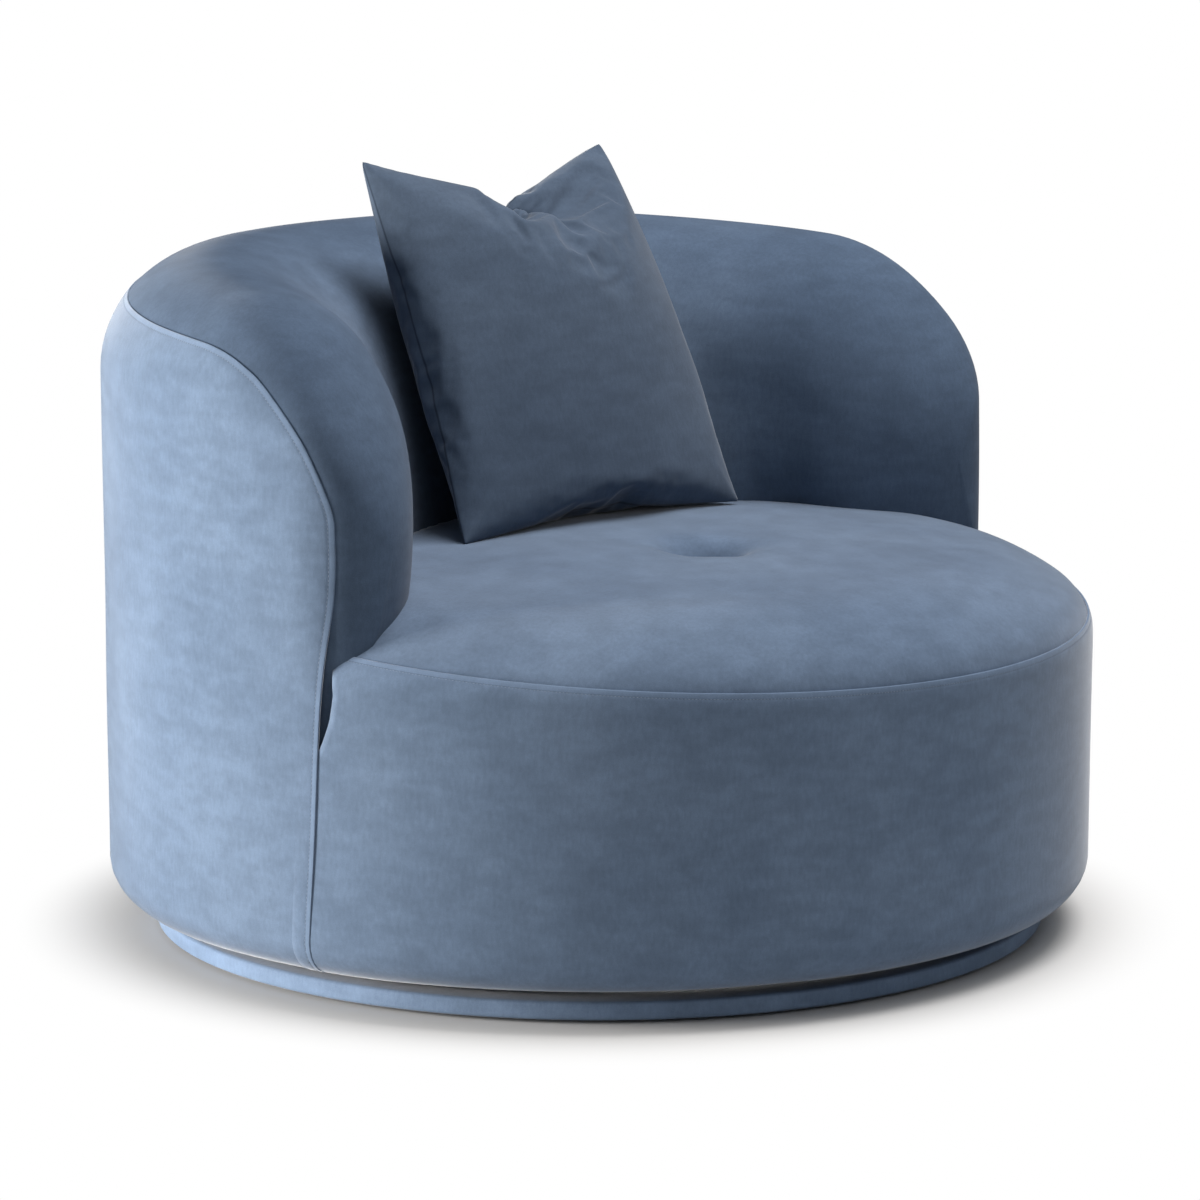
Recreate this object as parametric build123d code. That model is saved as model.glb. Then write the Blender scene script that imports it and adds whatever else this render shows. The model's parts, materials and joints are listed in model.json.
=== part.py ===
from build123d import *
import math
import os

# A round upholstered swivel chair. Millimetres, +Z up, origin on the floor at the swivel axis.
# The chair faces -Y. Angles around the back are counted from +Y, its middle, towards +X.

# Overall form
BODY_R = 548.0              # outside radius of the upholstered drum
BACK_H = 755.0              # top of the back above the floor
SEAT_H = 442.0              # crown of the seat above the floor
COVER_T = 2.0               # velvet cover
SOFT_GAP = 0.3              # between a cover and the padding under it

# Plinth and glides
PLINTH_R = BODY_R - 52.0
PLINTH_BOARD_T = 16.0
PLINTH_PAD_T = 4.0
PLINTH_EDGE_R = 3.0         # rounding of the wrapped rim
PLINTH_FLAP = 60.0          # cover turned in over the top and under the bottom
GLIDE_H = 4.0               # glide standing below the plinth cover
GLIDE_R = 15.0
GLIDE_RING_R = PLINTH_R - PLINTH_FLAP - 26.0
GLIDES = 6
NAIL_R = 1.6
NAIL_L = 12.0
NAIL_GAP = 0.1

# Swivel bearing
SWIVEL_H = 18.0             # from plinth board to base board
RACE_R = 145.0
PLATE_R = RACE_R + 40.0
PLATE_T = 3.0
RACE_W = 24.0
RACE_STEP = 2.0             # race edge below or above the ball centre
BALL_D = 8.0
BALL_GAP = 0.15
BALLS = 24
RETAINER_T = 2.0
RETAINER_W = 18.0
FIXING_RING_R = RACE_R + 25.0
FIXINGS = 8
SCREW_R = 2.5
SCREW_L = 14.0
SCREW_HEAD_R = 6.0
SCREW_HEAD_H = 3.0
BOLT_R = 3.0
BOLT_HEAD_H = 3.5
FIXING_GAP = 0.3
ACCESS_R = 9.0              # hole for the screwdriver
TEE_FLANGE_R = 9.5
TEE_FLANGE_T = 1.5
TEE_BARREL_R = 4.5
TEE_BARREL_L = 10.0
PIVOT_R = 10.0
PIVOT_FIT = 0.05            # running clearance in the bush
PIVOT_HEAD_R = 17.0
PIVOT_HEAD_H = 6.0
PIVOT_PLAY = 0.4            # head below the lower plate
PIVOT_COLLAR_R = 14.0
PIVOT_COLLAR_H = 3.0
PIVOT_NUT_FLATS = 30.0
PIVOT_NUT_H = 10.0
BUSH_R = 13.0
BUSH_FLANGE_R = 18.0
BUSH_FLANGE_T = 2.0
BOARD_BORE_R = 34.0         # clears the pivot head and its nut

# Lower body
BASE_BOARD_T = 18.0
TUCK_R = 42.0               # rounded lower edge of the drum
BODY_FLAP = 36.0            # cover turned in under the base board
DUST_COVER_T = 1.0
DUST_COVER_IN = 6.0         # clear of the swivel plate
FRONT_RAIL_R = BODY_R - TUCK_R - 6.0
FRONT_RAIL_T = 12.0
FRONT_HALF = 80.5           # half angle of the front band

# Seat
DECK_Z = SEAT_H - 145.0     # top of the webbing
DECK_CLOTH_T = 2.5
CROWN_R = BODY_R - 148.0    # where the crown meets the rolled edge
CROWN_FALL = 20.0
EDGE_ROLL_R = 60.0          # tight roll above the band
EDGE_ROLL_Z = SEAT_H - 112.0
EDGE_ROLL_TURN = 55.0
SEAM_Z = SEAT_H - 97.0      # seat seam at the front
SEAM_RISE = 33.0            # its climb to the arms
SEAM_RUN = 430.0            # measured back from the front
TUFT_Y = -155.0
TUFT_DEPTH = 32.0
TUFT_CORE_R = 26.0
TUFT_CORE_DEPTH = 16.0
TUFT_R = 66.0
TUFT_LIP = 3.0
TWINE_R = 1.5
TWINE_GAP = 0.3
WASHER_R = 18.0
WASHER_T = 3.0

# Seat webbing frame
WEB_T = 2.0
WEB_W = 60.0
WEB_LONG_X = (-180.0, -60.0, 60.0, 180.0)
WEB_CROSS_Y = (-270.0, -40.0, 90.0)
WEB_RAIL_T = 26.0
WEB_RAIL_H = 44.0
WEB_FRONT_Y = 178.0 - BODY_R
WEB_REAR_Y = 230.0
WEB_SIDE_X = 250.0
POST_W = 45.0

# Back and arms
BACK_LOW = SEAT_H - 112.0   # lower edge of the inside back cover
WELL_HALF_W = BODY_R - 148.0    # inside curve of the back, half an ellipse
WELL_DEPTH = 270.0
WELL_SET = 110.0            # its centre ahead of the swivel axis
CREST_LEVEL = 24.0          # the crest is level up to this angle
CREST_TURN = 82.0           # and rolls down to the arm front from this one
CREST_DROP = 25.0
NOSE_ANGLE = 107.0          # foremost point of the arm
NOSE_MID_R = BODY_R - 66.0
NOSE_Z = BACK_H - 265.0
UNDER_TURN = 96.0
SIDE_TURN = 98.0
INNER_TURN = 94.0
OUT_ROLL = 0.37             # outer roll radius as a share of the wall
IN_ROLL = 0.50
ROLL_LEAN = 62.0            # turn of the inner roll before the long inside face
STATIONS = (0, 20, 40, 58, 72, 82, 90, 95.5, 99.2, 102.1, 104.3, 105.6, 106.4)
ARM_GAP = 1.0               # between the seat and the back cover
FOAM_SET = 6.0              # seat foam back from the inside curve
WALL_STEP = 0.2             # lower wall of the outside cover, a hair thinner than the hood it runs into
HEM_GAP = 1.0               # inside back cover above the shelf

# Seam between the inside and outside back covers, seen from the side
SEAM_CREST_R = BODY_R - 90.0   # along the crest, behind
SEAM_TOP = (440.0, BACK_H - 25.0)
SEAM_SHOULDER = (20.0, BACK_H - 81.0)
SEAM_CORNER = (-72.0, BACK_H - 145.0)
SEAM_FRONT = (-118.0, 450.0)
SEAM_TUCK = (-96.0, 300.0)
SEAM_FOOT_Y = -82.0

# Back frame
RIB_T = 18.0
RIB_TOP = BACK_H - 167.0
RIB_DEPTH = 89.0
RIB_SPACING = 24.0
BACK_RIBS = 7
ARM_PANEL_ANGLE = 95.5
TOP_RAIL_T = 18.0
SHELF_T = 18.0
OUTSIDE_BOARD_T = 3.0
OUTSIDE_PAD_T = 6.0
FRAME_HALF = 97.3           # half angle of the hollow for the frame
FRAME_GAP = 2.0             # foam clear of the frame

# Throw pillow
PILLOW_HALF_W = 224.0
PILLOW_HALF_H = 226.0
PILLOW_T = 185.0
PILLOW_EDGE_T = 14.0
PILLOW_SEAM_T = 6.0         # flat of the sewn edge
PILLOW_DRAW = 14.0          # sides drawn in between the corners
PILLOW_CHOP = 75.0          # depth of the dent in the top edge
PILLOW_CHOP_X = 35.0        # its place along the edge
PILLOW_CHOP_HALF = 190.0
PILLOW_LEAN = 24.0
PILLOW_TURN = -2.0
PILLOW_AT = (20.0, 126.1, SEAT_H + 202.4)
PILLOW_STATIONS = (-1.0, -0.85, -0.6, -0.3, 0.0, 0.3, 0.6, 0.85, 1.0)

# Levels and radii that follow from the sizes above
plinth_low = GLIDE_H + COVER_T
plinth_top = plinth_low + PLINTH_BOARD_T
plinth_board_r = PLINTH_R - COVER_T - PLINTH_PAD_T
base_low = plinth_top + SWIVEL_H
base_top = base_low + BASE_BOARD_T
base_board_r = BODY_R - TUCK_R
body_low = base_low - COVER_T
ball_z = plinth_top + SWIVEL_H / 2
web_rail_top = DECK_Z - 2 * WEB_T
seat_low = DECK_Z + DECK_CLOTH_T
outside_pad_r = BODY_R - COVER_T - SOFT_GAP
outside_board_r = outside_pad_r - OUTSIDE_PAD_T - SOFT_GAP
rib_out = outside_board_r - OUTSIDE_BOARD_T - SOFT_GAP
rib_in = rib_out - RIB_DEPTH
top_rail_top = RIB_TOP + TOP_RAIL_T
shelf_top = BACK_LOW - HEM_GAP
arm_wall_top = BACK_LOW + 4 * ARM_GAP
far = 2 * BODY_R            # beyond everything, for cutting tools


def radial_plane(angle):
    """Upright plane through the swivel axis, with x outwards and y up."""
    out = Vector(math.sin(math.radians(angle)), math.cos(math.radians(angle)), 0)
    return Plane(origin=(0, 0, 0), x_dir=out, z_dir=out.cross(Vector(0, 0, 1)))


def turned(outline, start=0.0, arc=360.0):
    """Revolve an outline of radius and height about the swivel axis."""
    return revolve(radial_plane(start) * make_face(outline), Axis.Z, arc)


def ring(outer, inner, low, high, half=180.0, middle=0.0):
    """Flat ring, or a sector of one that reaches half an angle to each side of the middle."""
    outline = Polyline((inner, low), (outer, low), (outer, high), (inner, high), close=True)
    return turned(outline, middle + half, 2 * half)


def disc(radius, low, high, x=0.0, y=0.0):
    return Pos(x, y, low) * extrude(Circle(radius), high - low)


def block(x_size, y_size, low, high, x=0.0, y=0.0):
    return Pos(x, y, low) * extrude(Rectangle(x_size, y_size), high - low)


def around(solid, count, phase=0.0):
    """Copies of a solid spread evenly about the swivel axis."""
    return [Rot(0, 0, phase + index * 360.0 / count) * solid for index in range(count)]


def joined(solids):
    return Compound(children=[solid for item in solids for solid in item.solids()])


def less(solid, tools):
    for tool in tools:
        solid = solid - tool
    return solid


def save(name, shape):
    """Write one node as plain solids."""
    solids = shape.solids()
    export_step(solids[0] if len(solids) == 1 else Compound(children=list(solids)), f"parts/{name}.step")


# Plinth

def plinth_board():
    nail_holes = around(disc(NAIL_R + NAIL_GAP, 0, plinth_low + NAIL_L, GLIDE_RING_R), GLIDES)
    screw_holes = around(disc(SCREW_R + NAIL_GAP, plinth_top - SCREW_L, plinth_top, FIXING_RING_R), FIXINGS)
    return less(ring(plinth_board_r, BOARD_BORE_R, plinth_low, plinth_top), nail_holes + screw_holes)


def plinth_pad():
    return ring(plinth_board_r + PLINTH_PAD_T, plinth_board_r, plinth_low, plinth_top)


def plinth_cover():
    """Velvet wrapped round the rim and turned in over both faces of the board."""
    low = plinth_low - COVER_T
    high = plinth_top + COVER_T
    inside = PLINTH_R - PLINTH_FLAP
    wrap = ring(PLINTH_R, inside, low, high)
    wrap = fillet(wrap.edges().filter_by(GeomType.CIRCLE).sort_by(SortBy.RADIUS)[-2:], PLINTH_EDGE_R)
    return wrap - ring(PLINTH_R - COVER_T, inside - 1, plinth_low, plinth_top)


def floor_glides():
    """Nail-on glides, flat underneath, inside the turned-in cover."""
    pad = fillet(disc(GLIDE_R, 0, plinth_low).edges().sort_by(Axis.Z)[:1], GLIDE_H / 4)
    glide = Pos(GLIDE_RING_R, 0, 0) * (pad + disc(NAIL_R, plinth_low, plinth_low + NAIL_L))
    return joined(around(glide, GLIDES))


# Swivel bearing

def race_groove():
    """The ball track, a ring of round section."""
    return revolve(Plane.XZ * Pos(RACE_R, ball_z) * Circle(BALL_D / 2 + BALL_GAP), Axis.Z)


def swivel_lower_plate():
    plate = ring(PLATE_R, BUSH_R, plinth_top, plinth_top + PLATE_T)
    race = ring(RACE_R + RACE_W / 2, RACE_R - RACE_W / 2, plinth_top + PLATE_T, ball_z - RACE_STEP)
    holes = around(disc(SCREW_R + FIXING_GAP, plinth_top, base_low, FIXING_RING_R), FIXINGS)
    return less(plate + race - race_groove(), holes)


def lower_plate_screws():
    seat = plinth_top + PLATE_T
    head = disc(SCREW_HEAD_R, seat, seat + SCREW_HEAD_H)
    head = fillet(head.edges().sort_by(Axis.Z)[-1:], SCREW_HEAD_H / 2)
    screw = head + disc(SCREW_R, plinth_top - SCREW_L, seat)
    return joined(around(Pos(FIXING_RING_R, 0, 0) * screw, FIXINGS))


def pivot_bush():
    seat = plinth_top + PLATE_T
    bush = disc(BUSH_R, plinth_top, seat) + disc(BUSH_FLANGE_R, seat, seat + BUSH_FLANGE_T)
    return bush - disc(PIVOT_R + PIVOT_FIT, plinth_top, seat + BUSH_FLANGE_T)


def ball_retainer():
    low = ball_z - RETAINER_T / 2
    band = ring(RACE_R + RETAINER_W / 2, RACE_R - RETAINER_W / 2, low, low + RETAINER_T)
    pockets = around(disc(BALL_D / 2 + 2 * BALL_GAP, low, low + RETAINER_T, RACE_R), BALLS)
    return less(band, pockets)


def bearing_balls():
    return joined(around(Pos(RACE_R, 0, ball_z) * Sphere(BALL_D / 2), BALLS))


bolt_phase = 180.0 / FIXINGS     # bolts stand between the screws below them


def swivel_upper_plate():
    plate = ring(PLATE_R, PIVOT_R + FIXING_GAP, base_low - PLATE_T, base_low)
    race = ring(RACE_R + RACE_W / 2, RACE_R - RACE_W / 2, ball_z + RACE_STEP, base_low - PLATE_T)
    holes = around(disc(BOLT_R + FIXING_GAP, plinth_top, base_low, FIXING_RING_R), FIXINGS, bolt_phase)
    return less(plate + race - race_groove(), holes) - disc(ACCESS_R, plinth_top, base_low, FIXING_RING_R)


def upper_plate_bolts():
    seat = base_low - PLATE_T
    head = Pos(0, 0, seat - BOLT_HEAD_H) * extrude(RegularPolygon(2 * BOLT_R, 6), BOLT_HEAD_H)
    bolt = head + disc(BOLT_R, seat, base_top + TEE_FLANGE_T)
    return joined(around(Pos(FIXING_RING_R, 0, 0) * bolt, FIXINGS, bolt_phase))


def tee_nuts():
    nut = disc(TEE_FLANGE_R, base_top, base_top + TEE_FLANGE_T)
    nut = nut + disc(TEE_BARREL_R, base_top - TEE_BARREL_L, base_top)
    nut = nut - disc(BOLT_R + FIXING_GAP, base_low, base_top + TEE_FLANGE_T)
    return joined(around(Pos(FIXING_RING_R, 0, 0) * nut, FIXINGS, bolt_phase))


def pivot_bolt():
    """Head below the lower plate, collar below the upper one, so the two cannot part."""
    head_top = plinth_top - PIVOT_PLAY
    collar_top = base_low - PLATE_T
    bolt = disc(PIVOT_HEAD_R, head_top - PIVOT_HEAD_H, head_top)
    bolt = bolt + disc(PIVOT_R, head_top, base_low + PIVOT_NUT_H + PLATE_T)
    return bolt + disc(PIVOT_COLLAR_R, collar_top - PIVOT_COLLAR_H, collar_top)


def pivot_nut():
    flats = RegularPolygon(PIVOT_NUT_FLATS / 2, 6, major_radius=False)
    nut = Pos(0, 0, base_low) * extrude(flats, PIVOT_NUT_H)
    return nut - disc(PIVOT_R + NAIL_GAP, base_low, base_low + PIVOT_NUT_H)


# Lower body

def base_board():
    barrels = around(disc(TEE_BARREL_R + NAIL_GAP, base_low, base_top, FIXING_RING_R), FIXINGS, bolt_phase)
    return less(ring(base_board_r, BOARD_BORE_R, base_low, base_top), barrels)


def dust_cover():
    inside = PLATE_R + DUST_COVER_IN
    return ring(base_board_r - BODY_FLAP - SOFT_GAP, inside, base_low - DUST_COVER_T, base_low)


def front_rail():
    return ring(FRONT_RAIL_R, FRONT_RAIL_R - FRONT_RAIL_T, base_top, DECK_Z, FRONT_HALF, 180)


def seat_form(inset):
    """The whole drum below and up to the crowned seat, drawn in evenly by the inset."""
    wall = BODY_R - inset
    roll = EDGE_ROLL_R - inset
    turn = math.radians(EDGE_ROLL_TURN)
    roll_mid = BODY_R - EDGE_ROLL_R
    roll_end = (roll_mid + roll * math.cos(turn), EDGE_ROLL_Z + roll * math.sin(turn))
    crown_slope = 2 * CROWN_FALL / CROWN_R
    crown_end = (CROWN_R - inset * crown_slope, SEAT_H - CROWN_FALL - inset)
    low = body_low + inset
    tuck = TUCK_R - inset
    outline = [
        Line((0, low), (base_board_r, low)),
        RadiusArc((base_board_r, low), (wall, body_low + TUCK_R), -tuck),
        Line((wall, body_low + TUCK_R), (wall, EDGE_ROLL_Z)),
        TangentArc((wall, EDGE_ROLL_Z), roll_end, tangent=(0, 1)),
        TangentArc(roll_end, crown_end, tangent=(-math.sin(turn), math.cos(turn))),
        TangentArc((0, SEAT_H - inset), crown_end, tangent=(1, 0)),
        Line((0, SEAT_H - inset), (0, low)),
    ]
    return turned(outline)


def tuft_tool(drop):
    """The dent of the tuft, a soft funnel."""
    core = TangentArc((0, -TUFT_DEPTH), (TUFT_CORE_R, -TUFT_CORE_DEPTH), tangent=(1, 0))
    lip = TangentArc((TUFT_CORE_R, -TUFT_CORE_DEPTH), (TUFT_R, TUFT_LIP), tangent=core % 1)
    rim = Polyline((TUFT_R, TUFT_LIP), (TUFT_R, far), (0, far), (0, -TUFT_DEPTH))
    funnel = revolve(Plane.XZ * make_face([core, lip] + list(rim.edges())), Axis.Z)
    return Pos(0, TUFT_Y, SEAT_H - drop) * funnel


seam_tilt = math.degrees(math.atan2(SEAM_RISE, SEAM_RUN))


def above_seam(drop=0.0):
    """Everything above the seat seam, which lies on a plane rising to the arms."""
    slab = extrude(Rectangle(2 * far, 2 * far), far)
    return Pos(0, -BODY_R, SEAM_Z - drop) * Rot(seam_tilt, 0, 0) * slab


# Back and arms

def well_reach(angle):
    """Distance from the swivel axis to the inside curve of the back."""
    turn = math.radians(angle)
    square = (math.sin(turn) / WELL_HALF_W) ** 2 + (math.cos(turn) / WELL_DEPTH) ** 2
    slope = WELL_SET * math.cos(turn) / WELL_DEPTH ** 2
    rest = 1.0 - (WELL_SET / WELL_DEPTH) ** 2
    return (math.sqrt(slope ** 2 + square * rest) - slope) / square


def back_section(angle, inset, drop=0.0):
    """Outline of the back and arms in the upright plane at this angle."""
    tip = NOSE_ANGLE - math.degrees(inset / NOSE_MID_R)
    bend = abs(angle)

    def swell(start, end):
        """One along the back, falling to nothing at the nose like a quarter ellipse."""
        share = max(0.0, bend - start) / (end - start)
        return math.sqrt(1.0 - share ** 2)

    outer = NOSE_MID_R + (BODY_R - inset - NOSE_MID_R) * swell(SIDE_TURN, tip)
    inner = NOSE_MID_R - (NOSE_MID_R - well_reach(angle) - inset) * swell(INNER_TURN, tip)
    fall = CREST_DROP * (max(0.0, bend - CREST_LEVEL) / (CREST_TURN - CREST_LEVEL)) ** 2
    crest = NOSE_Z + (BACK_H - fall - inset - NOSE_Z) * swell(CREST_TURN, tip)
    under = NOSE_Z - (NOSE_Z - BACK_LOW - inset + drop) * swell(UNDER_TURN, tip)
    out_roll = OUT_ROLL * (outer - inner)
    in_roll = IN_ROLL * (outer - inner)
    lean = math.radians(ROLL_LEAN)
    rest = math.pi / 2 - lean
    shoulder = (outer, crest - out_roll)
    top = (outer - out_roll, crest)
    brow = (top[0] - in_roll * math.sin(lean), crest - in_roll * (1 - math.cos(lean)))
    face_r = (brow[0] - inner) / (1 - math.cos(rest))
    belly = (inner, brow[1] - face_r * math.sin(rest))
    plane = radial_plane(angle)

    def at(point):
        return plane.from_local_coords(Vector(point[0], point[1], 0))

    def towards(r, z):
        return at((r, z)) - plane.origin

    return Wire([
        Line(at((inner, under)), at((outer, under))),
        Line(at((outer, under)), at(shoulder)),
        TangentArc(at(shoulder), at(top), tangent=towards(0, 1)),
        TangentArc(at(top), at(brow), tangent=towards(-1, 0)),
        TangentArc(at(brow), at(belly), tangent=towards(-math.cos(lean), -math.sin(lean))),
        Line(at(belly), at((inner, under))),
    ])


def back_form(inset, drop=0.0):
    """The thick rolled back, tapering round both arms to a soft nose, its underside lowered by the drop."""
    tip = NOSE_ANGLE - math.degrees(inset / NOSE_MID_R)
    half = [station * tip / NOSE_ANGLE for station in STATIONS]
    angles = [-angle for angle in reversed(half[1:])] + half
    return Part() + Solid.make_loft([back_section(angle, inset, drop) for angle in angles])


def outside_tool():
    """All that lies outside and behind the seam of the back covers."""
    outline = [
        Polyline((far, body_low), (SEAM_FOOT_Y, body_low), SEAM_TUCK).edges(),
        Spline(SEAM_TUCK, SEAM_FRONT, SEAM_CORNER, SEAM_SHOULDER).edges(),
        Polyline(SEAM_SHOULDER, SEAM_TOP, (SEAM_CREST_R, BACK_H + COVER_T), (far, BACK_H + COVER_T),
                 (far, body_low)).edges(),
    ]
    edges = [edge for group in outline for edge in group]
    return extrude(Plane.YZ * make_face(edges), far, both=True) - disc(SEAM_CREST_R, 0, BACK_H + far)


def arm_wall(low, high, gap=2 * ARM_GAP):
    """The space under the back, outside its inside curve and behind the arm fronts."""
    space = Pos(0, far / 2 + SEAM_FOOT_Y, low) * extrude(Rectangle(2 * far, far), high - low)
    well = extrude(Ellipse(WELL_HALF_W - gap, WELL_DEPTH - gap), high - low)
    return space - Pos(0, -WELL_SET, low) * well


outside = outside_tool()
seat_clear = back_form(-ARM_GAP)


def frame_hollow(outer, top):
    """Room for the frame inside the back."""
    return ring(outer, rib_in - FRAME_GAP, 0, top, FRAME_HALF)


def back_foam():
    """Foam over the frame, with a hollow where the frame stands."""
    return back_form(COVER_T + SOFT_GAP) - frame_hollow(far, top_rail_top + FRAME_GAP)


def back_covers():
    """One skin over the back, parted along the seam, and the lower wall that goes with the outside."""
    whole = back_form(0)
    inside = whole - back_form(COVER_T) - frame_hollow(far, arm_wall_top) - outside
    hood = (whole & outside) - back_form(COVER_T, 10 * COVER_T)
    wall = seat_form(WALL_STEP) - seat_form(COVER_T - WALL_STEP)
    wall = wall - disc(base_board_r - BODY_FLAP, 0, base_top) - disc(far, BACK_LOW + COVER_T, far)
    return inside, hood + (wall & outside)


def seat_covers():
    skin = seat_form(0) - tuft_tool(0) - (seat_form(COVER_T) - tuft_tool(COVER_T))
    skin = skin - seat_clear - arm_wall(base_top, arm_wall_top)
    top = skin & above_seam()
    band = skin - above_seam() - disc(base_board_r - BODY_FLAP, 0, base_top) - outside
    return top, band


def padding_form():
    return seat_form(COVER_T + SOFT_GAP)


def seat_foam():
    foam = padding_form() - tuft_tool(COVER_T + SOFT_GAP) - disc(far, 0, seat_low)
    foam = foam - seat_clear - arm_wall(0, far, FOAM_SET)
    return foam - disc(TWINE_R + TWINE_GAP, 0, far, 0, TUFT_Y)


def deck_cloth():
    cloth = disc(FRONT_RAIL_R, DECK_Z, seat_low) - arm_wall(0, BACK_LOW)
    return cloth - disc(TWINE_R + TWINE_GAP, 0, far, 0, TUFT_Y)


def band_pad():
    shell = ring(far, FRONT_RAIL_R + SOFT_GAP, base_top, seat_low - SOFT_GAP, FRONT_HALF, 180)
    return padding_form() & shell


def tuft_twine():
    top = SEAT_H - TUFT_DEPTH - COVER_T - SOFT_GAP
    return disc(TWINE_R, DECK_Z, top, 0, TUFT_Y)


def tuft_washer():
    return disc(WASHER_R, DECK_Z - WASHER_T, DECK_Z, 0, TUFT_Y)


# Seat webbing frame

def web_frame():
    """Four rails that carry the straps, and the posts under them."""
    low = web_rail_top - WEB_RAIL_H
    width = 2 * WEB_SIDE_X + WEB_RAIL_T
    depth = WEB_REAR_Y - WEB_FRONT_Y - WEB_RAIL_T
    middle = (WEB_REAR_Y + WEB_FRONT_Y) / 2
    front = block(width, WEB_RAIL_T, low, web_rail_top, 0, WEB_FRONT_Y)
    rear = block(width, WEB_RAIL_T, low, web_rail_top, 0, WEB_REAR_Y)
    left = block(WEB_RAIL_T, depth, low, web_rail_top + WEB_T, -WEB_SIDE_X, middle)
    right = block(WEB_RAIL_T, depth, low, web_rail_top + WEB_T, WEB_SIDE_X, middle)
    corners = [(x, y) for x in (-WEB_SIDE_X, WEB_SIDE_X) for y in (WEB_FRONT_Y, WEB_REAR_Y)]
    posts = joined([block(WEB_RAIL_T, POST_W, base_top, low, x, y) for x, y in corners])
    return front, rear, left, right, posts


def long_strap(x):
    reach = WEB_REAR_Y - WEB_FRONT_Y + WEB_RAIL_T
    return block(WEB_W, reach, web_rail_top, web_rail_top + WEB_T, x, (WEB_REAR_Y + WEB_FRONT_Y) / 2)


def cross_strap(y):
    return block(2 * WEB_SIDE_X + WEB_RAIL_T, WEB_W, web_rail_top + WEB_T, DECK_Z, 0, y)


# Back frame

def upright(angle):
    """Plywood upright standing on the base board, cut back at the foot to clear the rolled edge."""
    foot = (rib_out, body_low + TUCK_R + COVER_T)
    outline = Polyline((rib_in, base_top), (base_board_r, base_top), foot, (rib_out, RIB_TOP),
                       (rib_in, RIB_TOP), close=True)
    return extrude(radial_plane(angle) * make_face(outline), RIB_T / 2, both=True)


def top_rail():
    return ring(rib_out, rib_in + FRAME_GAP, RIB_TOP, top_rail_top, ARM_PANEL_ANGLE)


def back_shelf():
    """Crescent shelf at seat height, fixed to the inner edges of the uprights."""
    crescent = disc(rib_in, shelf_top - SHELF_T, shelf_top) & arm_wall(0, far)
    return crescent & ring(far, 0, 0, far, ARM_PANEL_ANGLE)


def outside_board():
    low = body_low + TUCK_R + COVER_T
    return ring(outside_board_r, outside_board_r - OUTSIDE_BOARD_T, low, top_rail_top, ARM_PANEL_ANGLE)


def outside_pad():
    low = body_low + TUCK_R + COVER_T
    return ring(outside_pad_r, outside_pad_r - OUTSIDE_PAD_T, low, top_rail_top, ARM_PANEL_ANGLE)


# Throw pillow

def pillow_form(inset):
    """A square knife-edged pillow with its top edge dented by a chop, standing upright at the origin."""
    half_w = PILLOW_HALF_W - inset

    def lens(place):
        side = 1.0 - place ** 2
        reach = min(1.0, abs(place * PILLOW_HALF_W - PILLOW_CHOP_X) / PILLOW_CHOP_HALF)
        chop = PILLOW_CHOP * (1.0 + math.cos(math.pi * reach)) / 2
        low = -PILLOW_HALF_H + PILLOW_DRAW * side + inset
        high = PILLOW_HALF_H - chop - inset
        thick = PILLOW_EDGE_T + (PILLOW_T - PILLOW_EDGE_T) * side - 2 * inset
        plane = Plane(origin=(place * half_w, 0, 0), x_dir=(0, 1, 0), z_dir=(1, 0, 0))
        seam = PILLOW_SEAM_T / 2 - inset
        middle = (low + high) / 2

        def at(w, z):
            return plane.from_local_coords(Vector(w, z, 0))

        return Wire([
            ThreePointArc(at(seam, low), at(thick / 2, middle), at(seam, high)),
            Line(at(seam, high), at(-seam, high)),
            ThreePointArc(at(-seam, high), at(-thick / 2, middle), at(-seam, low)),
            Line(at(-seam, low), at(seam, low)),
        ])

    return Part() + Solid.make_loft([lens(place) for place in PILLOW_STATIONS])


def pillow_pieces():
    place = Pos(*PILLOW_AT) * Rot(0, 0, PILLOW_TURN) * Rot(-PILLOW_LEAN, 0, 0)
    front_half = Pos(0, -far / 2, 0) * Box(2 * far, far, 2 * far)
    outer = pillow_form(0)
    inner = pillow_form(COVER_T)
    front = (outer & front_half) - (inner & front_half)
    back = (outer - front_half) - (inner - front_half)
    return place * front, place * back, place * pillow_form(COVER_T + SOFT_GAP)


os.makedirs("parts", exist_ok=True)

save("plinth_board", plinth_board())
save("plinth_pad", plinth_pad())
save("plinth_cover", plinth_cover())
save("floor_glides", floor_glides())
save("swivel_lower_plate", swivel_lower_plate())
save("lower_plate_screws", lower_plate_screws())
save("pivot_bush", pivot_bush())

save("ball_retainer", ball_retainer())
save("bearing_balls", bearing_balls())

save("swivel_upper_plate", swivel_upper_plate())
save("upper_plate_bolts", upper_plate_bolts())
save("tee_nuts", tee_nuts())
save("pivot_bolt", pivot_bolt())
save("pivot_nut", pivot_nut())
save("base_board", base_board())
save("dust_cover", dust_cover())
save("front_rail", front_rail())

for name, piece in zip(("front", "rear", "left", "right"), web_frame()):
    save(f"web_rail_{name}", piece)
save("web_rail_posts", web_frame()[-1])
for number, x in enumerate(WEB_LONG_X, 1):
    save(f"seat_strap_long_{number}", long_strap(x))
for number, y in enumerate(WEB_CROSS_Y, 1):
    save(f"seat_strap_cross_{number}", cross_strap(y))
save("deck_cloth", deck_cloth())
save("seat_foam", seat_foam())
save("band_pad", band_pad())
save("tuft_twine", tuft_twine())
save("tuft_washer", tuft_washer())
seat_top, seat_band = seat_covers()
save("seat_top_cover", seat_top)
save("seat_band_cover", seat_band)

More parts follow.
